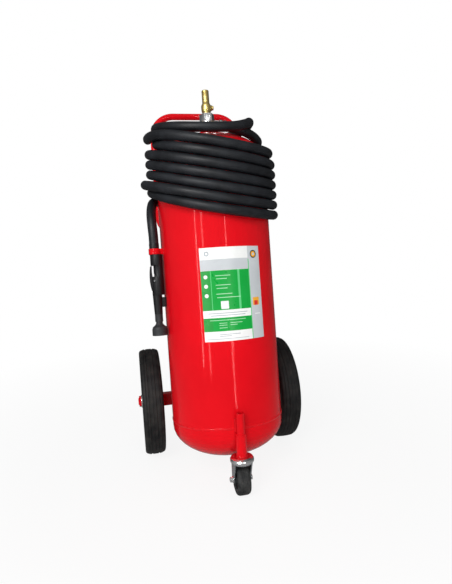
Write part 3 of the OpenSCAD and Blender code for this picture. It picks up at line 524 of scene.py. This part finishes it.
# The hose's route, in millimetres in the vessel's frame: once and a half round
# the neck, six and three quarter turns round the shoulder, and down to the gun
HOSE_EXIT = (48.907, -62, 770.604)
HOSE_END = 476
LEAD_POINTS = (
    (74, -61, 764), (99, -53, 757), (124, -32, 750.5), (140, 0, 747.5), (138, 44, 746.5), (103, 88, 747),
    (58, 113, 750), (4, 119, 756), (-52, 108, 767), (-98, 80, 779), (-132, 40, 786), (-143, -8, 783.5),
    (-129, -61, 770), (-97, -104, 757), (-50, -130, 747.5), (0, -138.5, 744.5), (46, -129, 749.5),
    (79, -104, 763.5), (102, -61, 783), (108, -10, 789), (98, 46, 792), (66, 94, 792), (18, 130, 791),
    (-42, 144, 795), (-104, 124, 799), (-146, 78, 787.5), (-162, 44, 775),
)
TAIL_POINTS = (
    (-64, 153, 609.5), (-108, 127, 609.5), (-143, 86, 605), (-159, 44, 597), (-167, 12, 580),
    (-171, -12, 553), (-171, -25, 522), (-170, -28, 495),
)
COIL_TURNS = 6.75
COIL_R = 164.2
# The height of its left end, how far each turn is under the last, and the
# radius at which its slope is measured, with the slope across and back
COIL_TOP, COIL_PITCH = 746, 27
COIL_LEVEL, COIL_SLOPE = 165.51, (-0.152, 0.24)
# Where a turn leaves the even winding: its middle and half its width in turns,
# and how far it goes out, or up, in millimetres
COIL_OUT = ((0.985, 0.19, -22), (0.5, 0.22, -4), (5, 0.28, 16))
COIL_UP = ((-0.055, 0.19, -13), (0.5, 0.22, 5), (6, 0.22, 5))
HOSE_D = 25
# How finely its smooth lines and its turns are laid before they are spaced
LINE_PARTS, TURN_PARTS = 10, 96


def strays(u, places):
    """How far the winding has left its even line, u in turns from its left end."""
    near = [(u - middle, half, far) for middle, half, far in places if abs(u - middle) < half]
    return sum(far * math.cos(math.pi / 2 * off / half) ** 2 for off, half, far in near)


def coil_point(u):
    """A point of the winding, u in turns from its left end."""
    a = math.pi + 2 * math.pi * u
    x, y = math.cos(a), math.sin(a)
    r = COIL_R + strays(u, COIL_OUT)
    slope = COIL_LEVEL * (COIL_SLOPE[0] * x + COIL_SLOPE[1] * y)
    return Vector((r * x, r * y, COIL_TOP - COIL_PITCH * u + slope + strays(u, COIL_UP)))


def smooth_line(points, parts):
    """A smooth line through the points, with that many parts between each two."""
    p = [2 * points[0] - points[1], *points, 2 * points[-1] - points[-2]]
    line = []
    for i in range(1, len(p) - 2):
        a, b, c, d = p[i - 1 : i + 3]
        for k in range(parts):
            f = k / parts
            line.append(0.5 * (
                2 * b + (c - a) * f + (2 * a - 5 * b + 4 * c - d) * f**2 + (3 * b - a - 3 * c + d) * f**3
            ))
    return line + [points[-1]]


def run_on(u, far):
    """A point that far off the winding's end, straight on the way that it has there."""
    return coil_point(u) + far * (coil_point(u + 0.005) - coil_point(u - 0.005)).normalized()


def hose_route(step):
    """The hose's points in the frame, evenly spaced, in metres, and its length."""
    gun_top = Vector((GUN_R * math.cos(GUN_ANGLE), GUN_R * math.sin(GUN_ANGLE), HOSE_END))
    lead = smooth_line([Vector(p) for p in (HOSE_EXIT, *LEAD_POINTS)] + [run_on(0, -HOSE_D)], LINE_PARTS)
    coil = [coil_point(k / TURN_PARTS) for k in range(int(COIL_TURNS * TURN_PARTS) + 1)]
    tail = smooth_line([run_on(COIL_TURNS, HOSE_D), *(Vector(p) for p in TAIL_POINTS), gun_top], LINE_PARTS)
    dense = [VESSEL @ (p * MM) for p in lead + coil + tail]
    total = sum((b - a).length for a, b in zip(dense, dense[1:]))
    count = round(total / step)
    spaced, gone, i = [dense[0]], 0.0, 0
    for k in range(1, count):
        wanted = total * k / count
        while gone + (dense[i + 1] - dense[i]).length < wanted:
            gone += (dense[i + 1] - dense[i]).length
            i += 1
        spaced.append(dense[i].lerp(dense[i + 1], (wanted - gone) / (dense[i + 1] - dense[i]).length))
    return spaced + [dense[-1]], total


class HoseOperator(bpy.types.Operator):
    """Lays the discharge hose in one length from the valve's outlet to the gun"""

    bl_idname = "extinguisher.hose"
    bl_label = "Hose"

    def execute(self, context):
        stock(context.scene)
        sizes = context.scene.extinguisher_sizes
        points, length = hose_route(sizes.hose_step)
        line = bpy.data.curves.new("discharge_hose", "CURVE")
        line.dimensions = "3D"
        line.bevel_depth = sizes.hose_diameter / 2
        line.bevel_resolution = 7
        line.use_fill_caps = True
        spline = line.splines.new("POLY")
        spline.points.add(len(points) - 1)
        for point, place in zip(spline.points, points):
            point.co = (*place, 1)
        spline.use_smooth = True
        line.materials.append(FINISHES["hose"])
        hose = placed("discharge_hose", line)
        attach(hose, "chassis")
        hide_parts("hose_lead", "hose_coil", "hose_tail")
        return {"FINISHED"}


# ------------------------------------------------------------------ vessel

# A girth bead's crown: how deep its edges sit in the shell, its rise, its half
# width, and how fast its ripples lag behind off its middle
GIRTH_SINK, GIRTH_RISE, GIRTH_HALF, GIRTH_LAG = 0.3, 1.65, 3, 0.10
# The long seam: how deep its middle sits in the shell, its bead's radius and its ends
SEAM_SINK, SEAM_BEAD, SEAM_ENDS = 1.2, 2.4, (48, 666)


class VesselOperator(bpy.types.Operator):
    """Finishes the vessel, its neck and the rippled weld beads on it"""

    bl_idname = "extinguisher.vessel"
    bl_label = "Vessel"

    def execute(self, context):
        stock(context.scene)
        ripple = context.scene.extinguisher_sizes.bead_ripple / MM
        dress("enamel", "cylinder_shell", "bottom_head", "top_head", "neck_boss")
        dress("pvc", "dip_tube")

        # Girth beads: a low crown whose ripples follow each other round the seam
        bm = bmesh.new()
        for level in (0, SHELL_LEN):
            part = bmesh.new()
            crown = [
                (CYLINDER_R - GIRTH_SINK + GIRTH_RISE * math.sin(a), level - GIRTH_HALF * math.cos(a))
                for a in (math.pi * k / 8 for k in range(9))
            ]
            count = round(2 * math.pi * CYLINDER_R / ripple)
            turn(part, crown, count * 3)
            for vert in part.verts:
                along = math.atan2(vert.co.y, vert.co.x)
                out = Vector((math.cos(along), math.sin(along), 0))
                high = vert.co.xy.length - CYLINDER_R * MM
                if high > 0:
                    lag = (vert.co.z / MM - level) ** 2 * GIRTH_LAG
                    vert.co += out * high * RING_SHARE * (math.cos(along * count + lag) - 1)
            join(bm, part)
        keep("girth_welds", bm, "chassis", "weld", "seam_welds", at=VESSEL)

        # The rolled sheet's long seam, up the back of the shell
        bm = bmesh.new()
        bead_line(bm, *((0, CYLINDER_R - SEAM_SINK, z) for z in SEAM_ENDS), SEAM_BEAD, ripple)
        keep("long_weld", bm, "chassis", "weld", at=VESSEL)
        return {"FINISHED"}


# ------------------------------------------------------------------- label

# Width of the flat strips that the label is rolled from, in metres
LABEL_STRIP = 0.003
# Its inks: finish, colour and what it fades to. The panel's own colour is a setting.
LABEL_INKS = {
    "white": ("white_ink", "#F2F3F2", "#E6E7E4"),
    "silver": ("silver_ink", "#C9CDD0", "#B6BBBF"),
    "green": ("green_ink", None, "#12A846"),
    "leaf": ("dark_green_ink", "#0C9432", "#27A046"),
    "mint": ("mint_ink", "#55C878", "#77D292"),
    "pale": ("pale_green_ink", "#A8E0B4", "#C2E8CA"),
    "rule": ("grey_rule_ink", "#8F9AA4", "#A6AFB6"),
    "charcoal": ("charcoal_ink", "#2B2E33", "#3C4046"),
    "amber": ("amber_ink", "#F2A81E", "#F2BC55"),
    "signal": ("signal_red_ink", "#D8261C", "#DB4A40"),
}
# Blocks of the label from its lower left corner, as shares of its width and
# height: left, low, right, high, ink. A later block lies over an earlier one.
LABEL_BLOCKS = (
    (0, 0, 1, 1, "silver"),
    (0, 0, 0.765, 1, "white"),
    (0, 0.757, 0.765, 0.873, "silver"),
    (0, 0.332, 0.765, 0.755, "green"),
    (0, 0.107, 0.765, 0.251, "green"),
    (0.765, 0, 0.780, 0.86, "mint"),
    (0, 0.332, 0.145, 0.755, "leaf"),
    (0, 0.107, 0.145, 0.251, "leaf"),
    (0.150, 0.332, 0.160, 0.755, "mint"),
    (0.57, 0.332, 0.605, 0.755, "mint"),
    (0.225, 0.695, 0.455, 0.702, "pale"), (0.235, 0.662, 0.40, 0.669, "pale"),
    (0.225, 0.595, 0.450, 0.602, "pale"), (0.235, 0.560, 0.40, 0.567, "pale"),
    (0.225, 0.500, 0.470, 0.507, "pale"), (0.235, 0.462, 0.60, 0.469, "pale"),
    (0.08, 0.296, 0.70, 0.302, "rule"), (0.12, 0.272, 0.66, 0.278, "rule"),
    (0.10, 0.222, 0.66, 0.228, "pale"), (0.24, 0.190, 0.36, 0.196, "pale"),
    (0.24, 0.168, 0.36, 0.174, "pale"), (0.41, 0.190, 0.60, 0.196, "pale"),
    (0.41, 0.168, 0.52, 0.174, "pale"), (0.24, 0.140, 0.36, 0.146, "pale"),
    (0.24, 0.070, 0.56, 0.075, "rule"), (0.24, 0.052, 0.42, 0.057, "rule"),
    (0.05, 0.024, 0.70, 0.028, "rule"),
    (0.84, 0.262, 0.95, 0.270, "white"),
)
# Plain marks on it: middle, half width, corner (1 makes a disc), ink, and how far
# in millimetres it stands off the sheet
LABEL_MARKS = (
    ((0.875, 0.912), 0.062, 1, "charcoal", 0.05),
    ((0.875, 0.912), 0.045, 1, "amber", 0.09),
    ((0.875, 0.912), 0.022, 1, "silver", 0.13),
    ((0.875, 0.40), 0.062, 0.25, "amber", 0.05),
    ((0.875, 0.383), 0.036, 0.25, "signal", 0.09),
    ((0.345, 0.385), 0.060, 0.2, "white", 0.05),
    *(((0.075, v), 0.030, 1, "white", 0.05) for v in (0.690, 0.590, 0.490)),
    ((0.11, 0.935), 0.035, 1, "rule", 0.05),
    ((0.11, 0.935), 0.022, 1, "white", 0.09),
)
# Its lower edge above the lower girth seam, its thickness and how far its face is
# off the shell, in millimetres, and how many degrees its middle is right of the front
LABEL_LOW, LABEL_FILM, LABEL_LIFT, LABEL_TURN = 217, 0.4, 0.45, 3.9


def slit(bm, place, normal):
    """Cuts every face of a bmesh that a plane crosses."""
    geom = bm.verts[:] + bm.edges[:] + bm.faces[:]
    bmesh.ops.bisect_plane(bm, geom=geom, dist=1e-7, plane_co=place, plane_no=normal)


class LabelOperator(bpy.types.Operator):
    """Rolls the label on the shell, in plain blocks, rules and marks"""

    bl_idname = "extinguisher.label"
    bl_label = "Label"

    def execute(self, context):
        sizes = context.scene.extinguisher_sizes
        wide, high = sizes.label_width, sizes.label_height
        panel = (*context.scene.extinguisher_colours.label_panel, 1.0)
        inks = [label_ink(name, colour or panel, faded) for name, colour, faded in LABEL_INKS.values()]
        order = list(LABEL_INKS)
        # A flat sheet at the origin, X across and Z up, its front to -Y
        bm = bmesh.new()
        bmesh.ops.create_grid(bm, x_segments=1, y_segments=1, size=0.5)
        for vert in bm.verts:
            vert.co = Vector(((vert.co.x + 0.5) * wide, 0, (vert.co.y + 0.5) * high))
        for size, ends, normal in ((wide, (0, 2), (1, 0, 0)), (high, (1, 3), (0, 0, 1))):
            for cut in sorted({round(block[i] * size, 6) for block in LABEL_BLOCKS for i in ends}):
                slit(bm, Vector(normal) * cut, normal)
        for face in bm.faces:
            middle = face.calc_center_median()
            u, v = middle.x / wide, middle.z / high
            for left, low, right, top, ink in LABEL_BLOCKS:
                if left < u < right and low < v < top:
                    face.material_index = order.index(ink)
        for (u, v), half, corner, ink, lift in LABEL_MARKS:
            part = bmesh.new()
            bmesh.ops.create_circle(part, cap_ends=True, segments=4 if corner < 1 else 40, radius=1.0)
            if corner < 1:
                turned = Matrix.Rotation(math.pi / 4, 3, "Z") * math.sqrt(2)
                bmesh.ops.transform(part, matrix=turned.to_4x4(), verts=part.verts)
                bmesh.ops.bevel(
                    part, geom=part.verts[:], offset=corner, segments=5, profile=0.5,
                    affect="VERTICES", material=-1,
                )
            for vert in part.verts:
                x, y = vert.co.x, vert.co.y
                vert.co = Vector((u * wide + x * half * wide, -lift * MM, v * high + y * half * wide))
            for face in part.faces:
                face.material_index = order.index(ink)
            join(bm, part)
        steps = round(wide / LABEL_STRIP)
        for k in range(1, steps):
            slit(bm, (wide * k / steps, 0, 0), (1, 0, 0))

        def on_rim(place):
            return abs(place.y) < 1e-9 and min(place.x, wide - place.x, place.z, high - place.z) < 1e-6

        # The sheet's edge goes back to the shell
        rim = [e for e in bm.edges if e.is_boundary and all(on_rim(w.co) for w in e.verts)]
        back = bmesh.ops.extrude_edge_only(bm, edges=rim)["geom"]
        back = [g for g in back if isinstance(g, bmesh.types.BMVert)]
        bmesh.ops.translate(bm, verts=back, vec=(0, LABEL_FILM * MM, 0))
        face_r, middle = (CYLINDER_R + LABEL_LIFT) * MM, math.radians(-90 + LABEL_TURN)
        for vert in bm.verts:
            along = middle + (vert.co.x - wide / 2) / (CYLINDER_R * MM)
            r = face_r - vert.co.y
            vert.co = Vector((r * math.cos(along), r * math.sin(along), vert.co.z + LABEL_LOW * MM))
        for face in bm.faces:
            face.normal_update()
            out = face.calc_center_median()
            if face.normal.dot(Vector((out.x, out.y, 0))) < 0:
                face.normal_flip()
        keep("label", bm, "chassis", inks, "label_plate", at=VESSEL, slot="label_film", outward=False)
        return {"FINISHED"}


# ------------------------------------------------------------------ wheels

# The road tyres: how far their middles are from the middle, their width, their
# outer and seat radius, and the width of their main grooves
TYRE_X, TYRE_W, TYRE_R, TYRE_SEAT, GROOVE_W = 199, 58, 156, 113, 3.2
# How much lower its crown is at the sides, and its shoulder's radius
DROP, SHOULDER = 2.5, 9
# Its side wall: how far above the seat, and the share of the half width
TYRE_WALL = (
    (0, 0.78), (3, 0.80), (6, 0.86), (8, 0.90), (9.5, 0.88), (16, 0.95), (24, 0.995), (25, 0.975),
    (26, 0.985),
)
# A groove's outline, as shares of its width and of its depth
GROOVE = ((0.75, 0), (0.5, 0.35), (0.32, 1), (-0.32, 1), (-0.5, 0.35), (-0.75, 0))


def tyre_profile(depth):
    """Closed (radius, height) outline of a road tyre, its grooves cut that deep in its crown."""
    w = TYRE_W / 2

    def crown(z):
        return TYRE_R - DROP * (z / w) ** 2

    side = [(TYRE_SEAT + up, w * share) for up, share in TYRE_WALL]
    for k in range(7):
        a = math.pi / 2 * k / 6
        side.append((TYRE_R - DROP - SHOULDER + SHOULDER * math.sin(a), w - SHOULDER * (1 - math.cos(a))))
    top = []
    main = [(z, GROOVE_W, depth) for z in (-0.34 * w, 0.34 * w)]
    fine = [(z, GROOVE_W * 0.4, depth * 0.55) for z in (0, -0.62 * w, 0.62 * w)]
    for z, gap, deep in sorted(main + fine, reverse=True):
        for out, down in GROOVE:
            at = z + gap * out
            top.append((crown(z) - deep * down if down else crown(at), at))
    return side + top + [(r, -z) for r, z in reversed(side)]


class WheelsOperator(bpy.types.Operator):
    """Builds the road tyres and finishes the rims, bushes, axle and its beam"""

    bl_idname = "extinguisher.wheels"
    bl_label = "Road wheels and axle"

    def execute(self, context):
        stock(context.scene)
        sizes = context.scene.extinguisher_sizes
        edge = sizes.edge_break / MM
        for side, x in (("left", -TYRE_X), ("right", TYRE_X)):
            bm = bmesh.new()
            turn(bm, tyre_profile(sizes.groove_depth / MM), 144, closed=True)
            keep(f"{side}_road_tyre", bm, f"{side}_wheel", "tyre", f"{side}_tyre", at=axle(x), smooth=28)
            eased(f"{side}_pressed_rim", f"{side}_rim", "galvanised", f"{side}_wheel", edge)
            dress("nylon", f"{side}_bushes")
        eased("beam_tube", "axle_beam", "enamel", "chassis", 2.0, segments=4)
        eased("beam_saddles", "axle_saddles", "enamel", "chassis", edge)
        eased("hub_dome_nuts", "hub_nuts", "tube_enamel", "chassis", edge * 1.2, angle=20)
        eased("hub_washers", "axle_washers", "chrome", "chassis", edge * 0.7)
        dress("tube_enamel", "axle_collars")
        dress("galvanised", "axle_plugs")
        dress("steel", "axle_shaft")
        return {"FINISHED"}


# ------------------------------------------------------------------ caster

# Half of the caster tyre's outline, as (radius, height): up its side, then
# the marks on its tread
CASTER_SIDE = (
    (28, 15), (30, 16.3), (33, 17), (34, 16.7), (36, 16.2), (38, 14.2), (39.4, 11), (39.9, 8.6),
    (39.9, 6.2), (39.2, 5.7), (39.2, 4.9), (40, 4.4), (40, 0.9), (39.3, 0.5),
)
# Beads round the caster's tubes: radius, bead, and height above the floor in metres
TUBE_BEADS = ((10.6, 1.8, 0.1592), (12.2, 1.6, 0.1072))
# Beads up its stem: how far to each side, how far forward, their ends and radius
STEM_SIDE, STEM_AHEAD, STEM_ENDS, STEM_BEAD = 9.4, -151.6, (-6, 26), 3.4


class CasterOperator(bpy.types.Operator):
    """Builds the caster under the front, with its tubes and their welds"""

    bl_idname = "extinguisher.caster"
    bl_label = "Caster"

    def execute(self, context):
        stock(context.scene)
        sizes = context.scene.extinguisher_sizes
        edge, ripple = sizes.edge_break / MM, sizes.bead_ripple / MM
        dress("tube_enamel", "caster_socket", "caster_stem")
        dress("steel", "caster_king_pin", "caster_balls", "caster_sleeve")
        dress("chrome", "caster_race")
        eased("fork", "caster_fork", "zinc", "swivel_fork", edge)
        eased("wheel_bolt", "caster_bolt", "zinc", "swivel_fork", edge * 0.6, slot="bright_shaft")
        eased("wheel_nut", "caster_nut", "chrome", "swivel_fork", edge * 0.6)
        dress("grey", "caster_core")

        bm = bmesh.new()
        turn(bm, [*CASTER_SIDE, *((r, -z) for r, z in reversed(CASTER_SIDE))], 96, closed=True)
        keep("caster_wheel_tyre", bm, "caster_wheel", "caster_tread", "caster_tyre", at=CASTER_AXLE)

        # Beads that join the caster's tubes to the shell, and the two tubes to each other
        bm = bmesh.new()
        for x in (-STEM_SIDE, STEM_SIDE):
            bead_line(bm, *((x, STEM_AHEAD, z) for z in STEM_ENDS), STEM_BEAD, ripple)
        bm.transform(VESSEL)
        for radius, bead, up in TUBE_BEADS:
            bead_ring(bm, radius, bead, SWIVEL @ Matrix.Translation((0, 0, up)), ripple)
        keep("stem_beads", bm, "chassis", "weld", "stem_welds")
        return {"FINISHED"}


# ------------------------------------------------------------------ handle

# How far behind the vessel's axis the handle is and how far to each side, which
# sets the way its feet point; where a foot meets its pad, in metres, and the
# radius and bead of the weld there
HANDLE_BACK, HANDLE_HALF = 215, 135
FOOT_PLACE, FOOT_BEAD = (0.1534, 0, 0.545), (10.6, 2.0)


class HandleOperator(bpy.types.Operator):
    """Finishes the pulling handle and the welds at its feet"""

    bl_idname = "extinguisher.handle"
    bl_label = "Handle"

    def execute(self, context):
        stock(context.scene)
        ripple = context.scene.extinguisher_sizes.bead_ripple / MM
        dress("tube_enamel", "carry_handle", "handle_feet")
        eased("handle_foot_pads", "handle_pads", "enamel", "chassis", 0.8)
        bm = bmesh.new()
        for side in (1, -1):
            angle = math.atan2(HANDLE_BACK, side * HANDLE_HALF)
            foot = Matrix.Rotation(angle, 4, "Z") @ Matrix.Translation(FOOT_PLACE)
            bead_ring(bm, *FOOT_BEAD, foot @ ACROSS, ripple)
        keep("foot_beads", bm, "chassis", "weld", at=VESSEL)
        return {"FINISHED"}


# ------------------------------------------------------------------- valve

# The filling valve, turned from one bar, as (radius, height): a foot, a
# swelling waist, a neck, and the plain stem with its groove and rounded lip
STEM_OUTLINE = (
    (4.5, 826.8), (10.5, 826.8), (11.3, 827.4), (11.3, 829.6), (10.9, 830.2), (11.6, 831.4), (12.8, 834.6),
    (13.4, 838.4), (13.5, 841.5), (13.5, 848.0), (13.3, 849.6), (12.1, 852.8), (11.0, 855.2), (10.2, 856.6),
    (9.85, 857.8), (9.85, 863.6), (9.45, 864.0), (9.45, 864.8), (9.85, 865.2), (9.85, 884.4), (9.55, 884.9),
    (8.9, 885.1), (8.9, 886.5), (9.55, 886.7), (9.85, 887.2), (9.85, 890.2), (9.3, 891.4), (8.4, 891.9),
    (5.6, 892.0), (4.9, 891.4), (4.5, 890.6),
)
# The side port's boss: radius, length, and its middle out from the axis and up it
PORT_R, PORT_LEN, PORT_OUT, PORT_UP = 7.5, 8, 12, 844.4


class ValveOperator(bpy.types.Operator):
    """Builds the valve on the neck: its brass filling stem, collar and outlet"""

    bl_idname = "extinguisher.valve"
    bl_label = "Valve"

    def execute(self, context):
        stock(context.scene)
        dress("chrome", "valve_body")
        dress("seal", "valve_seal")
        dress("brass", "filling_core")
        dress("steel", "filling_spring")
        eased("collar", "collar_nut", "chrome", "chassis", 0.9)
        eased("outlet_bend", "outlet_elbow", "chrome", "chassis", 0.5)
        eased("outlet_nut", "outlet_union", "chrome", "chassis", 0.6)
        eased("hose_ferrule", "outlet_ferrule", "chrome", "chassis", 0.6)
        eased("side_plug", "port_plug", "brass", "chassis", 0.5)

        # The filling valve and the boss of its side port, whose outer rim is rounded
        bm = bmesh.new()
        turn(bm, STEM_OUTLINE, 72, closed=True)
        boss = bmesh.ops.create_cone(
            bm, cap_ends=True, segments=40, radius1=PORT_R * MM, radius2=PORT_R * MM, depth=PORT_LEN * MM,
            matrix=Matrix.Translation((PORT_OUT * MM, 0, PORT_UP * MM)) @ ACROSS,
        )["verts"]
        rim = [e for e in bm.edges if all(w in boss and w.co.x > PORT_OUT * MM for w in e.verts)]
        bmesh.ops.bevel(bm, geom=rim, offset=0.7 * MM, segments=2, profile=0.5, affect="EDGES", material=-1)
        keep("filling_stem", bm, "chassis", "brass", "filling_valve", at=VESSEL)
        return {"FINISHED"}


# --------------------------------------------------------------------- gun


class GunOperator(bpy.types.Operator):
    """Builds the gun in its clip: body, lever, discharge tube and nozzle cup"""

    bl_idname = "extinguisher.gun"
    bl_label = "Gun"

    def execute(self, context):
        stock(context.scene)
        eased("gun_handle", "gun_body", "black", "chassis", 0.5)
        eased("squeeze_lever", "gun_lever", "black", "lever", 0.4)
        eased("clip_band", "nozzle_clip", "tube_enamel", "chassis", 0.4)
        eased("tube_rest", "nozzle_rest", "black", "chassis", 0.5)
        eased("hose_tail_ferrule", "gun_ferrule", "black", "chassis", 0.8)
        dress("black", "discharge_tube")
        dress("steel", "lever_pin", "gun_plunger")
        dress("grey", "knurled_ring", "nozzle_cup")
        return {"FINISHED"}


# ------------------------------------------------------------------- stage


WHITE = (1, 1, 1, 1)
# How bright the floor is in the pieces' reflections, on its left and on its
# right, and at its far side, behind the vessel
FLOOR_MIRRORED = (0.32, 0.14)
FLOOR_BEHIND = 0.08
# The lamps: name, place, aim, width, height, watts
LAMPS = (
    ("key", (-1.6, -2.6, 2.6), (0, 0, 0.5), 1.4, 1.4, 54),
    ("left_tube", (-2.3, -2.0, 1.0), (0, 0, 0.6), 0.08, 2.2, 12),
    ("middle_tube", (-1.65, -2.3, 1.1), (0, 0, 0.6), 0.14, 2.4, 10),
    ("front_tube", (0.5, -2.75, 1.3), (0, 0, 0.6), 0.08, 2.2, 8),
    ("low_tube", (0.12, -1.0, 0.26), (0, -0.1, 0.26), 0.03, 0.38, 0.45),
    ("right_fill", (2.4, -1.4, 1.4), (0, 0, 0.5), 1.8, 1.8, 4),
)
# This lamp only fills the shade: the room on its side is too dim to shine back
UNMIRRORED = "right_fill"


def seen_rays(beside):
    """1 on rays that show a thing itself, straight or through glass, and the rays' own node."""
    way = add(beside, "LightPath")
    straight = (way.outputs["Is Camera Ray"], way.outputs["Is Transmission Ray"])
    return add(beside, "Math", straight, operation="MAXIMUM").outputs[0], way


class StageOperator(bpy.types.Operator):
    """Lays the pale floor and sets the lamps"""

    bl_idname = "extinguisher.stage"
    bl_label = "Floor and lamps"

    def execute(self, context):
        scene = context.scene
        scene.view_settings.view_transform = "Standard"

        # Painted studio floor: plain white to the eye, but it still takes shadow
        material, surface, place = finish_of("studio_floor", Roughness=0.7, Base_Color="#F4F4F4")
        tree = material.node_tree
        seen, way = seen_rays(tree)
        lit = add(tree, "Math", (seen, way.outputs["Is Glossy Ray"]), operation="MAXIMUM").outputs[0]
        away = add(tree, "VectorMath", (place,), operation="LENGTH").outputs["Value"]
        away = add(tree, "MapRange", (away, 0.5, 1.6, 0.88, 1.0)).outputs["Result"]
        share = add(tree, "Math", (lit, away), operation="MULTIPLY").outputs[0]
        parts = add(tree, "SeparateXYZ", (place,)).outputs
        dim = add(tree, "MapRange", (parts["X"], -0.6, 1.2, *FLOOR_MIRRORED)).outputs["Result"]
        dim = add(tree, "MapRange", (parts["Y"], -0.3, 0.9, dim, FLOOR_BEHIND)).outputs["Result"]
        strength = add(tree, "MapRange", (seen, 0, 1, dim, 1.0)).outputs["Result"]
        glow = add(tree, "Emission", (WHITE, strength)).outputs[0]
        mixed = add(tree, "MixShader", (share, surface.outputs["BSDF"], glow))
        out = next(n for n in tree.nodes if n.type == "OUTPUT_MATERIAL")
        tree.links.new(mixed.outputs[0], out.inputs["Surface"])
        bm = bmesh.new()
        bmesh.ops.create_grid(bm, x_segments=8, y_segments=8, size=14)
        mesh = bpy.data.meshes.new("floor")
        bm.to_mesh(mesh)
        bm.free()
        mesh.materials.append(material)
        placed("floor", mesh)

        world = bpy.data.worlds.new("studio")
        scene.world = world
        world.use_nodes = True
        tree = world.node_tree
        tree.nodes.clear()
        seen, way = seen_rays(tree)
        # What shines back from the pieces: the lit side of the room in front and
        # to the left, its dim side behind and to the right
        facing = add(tree, "SeparateXYZ", (add(tree, "TexCoord").outputs["Generated"],)).outputs
        ahead = add(tree, "MapRange", (facing["Y"], -0.5, 0.5, 0.55, 0.10)).outputs["Result"]
        aside = add(tree, "MapRange", (facing["X"], -0.1, 0.5, 1.0, 0.45)).outputs["Result"]
        levels = (1.0, add(tree, "Math", (ahead, aside), operation="MULTIPLY").outputs[0], 0.40)
        shown, mirrored, fill = (add(tree, "Background", (WHITE, level)).outputs[0] for level in levels)
        soft = add(tree, "MixShader", (way.outputs["Is Glossy Ray"], fill, mirrored)).outputs[0]
        both = add(tree, "MixShader", (seen, soft, shown)).outputs[0]
        add(tree, "OutputWorld", {"Surface": both})

        for name, place, aim, wide, high, watts in LAMPS:
            light = bpy.data.lights.new(name, "AREA")
            light.shape = "RECTANGLE"
            light.size, light.size_y, light.energy = wide, high, watts
            holder = placed(name, light)
            turned = (Vector(place) - Vector(aim)).to_track_quat("Z", "Y").to_matrix().to_4x4()
            holder.matrix_world = Matrix.Translation(place) @ turned
            holder.visible_glossy = name != UNMIRRORED
        return {"FINISHED"}


# -------------------------------------------------------------------- panel

STEPS = ("camera", "hose", "vessel", "label", "wheels", "caster", "handle", "valve", "gun", "stage")


class ExtinguisherPanel(bpy.types.Panel):
    """Lists the pieces, their sizes and their colours"""

    bl_idname = "VIEW3D_PT_extinguisher"
    bl_label = "Wheeled Extinguisher"
    bl_space_type = "VIEW_3D"
    bl_region_type = "UI"
    bl_category = "Extinguisher"

    def draw(self, context):
        layout = self.layout
        for group in (context.scene.extinguisher_sizes, context.scene.extinguisher_colours):
            box = layout.box()
            for name in type(group).__annotations__:
                box.prop(group, name)
        for step in STEPS:
            layout.operator(f"extinguisher.{step}")


CLASSES = (
    ExtinguisherSizes, ExtinguisherColours, CameraOperator, HoseOperator, VesselOperator, LabelOperator,
    WheelsOperator, CasterOperator, HandleOperator, ValveOperator, GunOperator, StageOperator,
    ExtinguisherPanel,
)


def register():
    for item in CLASSES:
        bpy.utils.register_class(item)
    bpy.types.Scene.extinguisher_sizes = bpy.props.PointerProperty(type=ExtinguisherSizes)
    bpy.types.Scene.extinguisher_colours = bpy.props.PointerProperty(type=ExtinguisherColours)


def unregister():
    del bpy.types.Scene.extinguisher_colours
    del bpy.types.Scene.extinguisher_sizes
    for item in reversed(CLASSES):
        bpy.utils.unregister_class(item)


def main():
    register()
    for step in STEPS:
        getattr(bpy.ops.extinguisher, step)()
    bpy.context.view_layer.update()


if __name__ == "__main__":
    main()
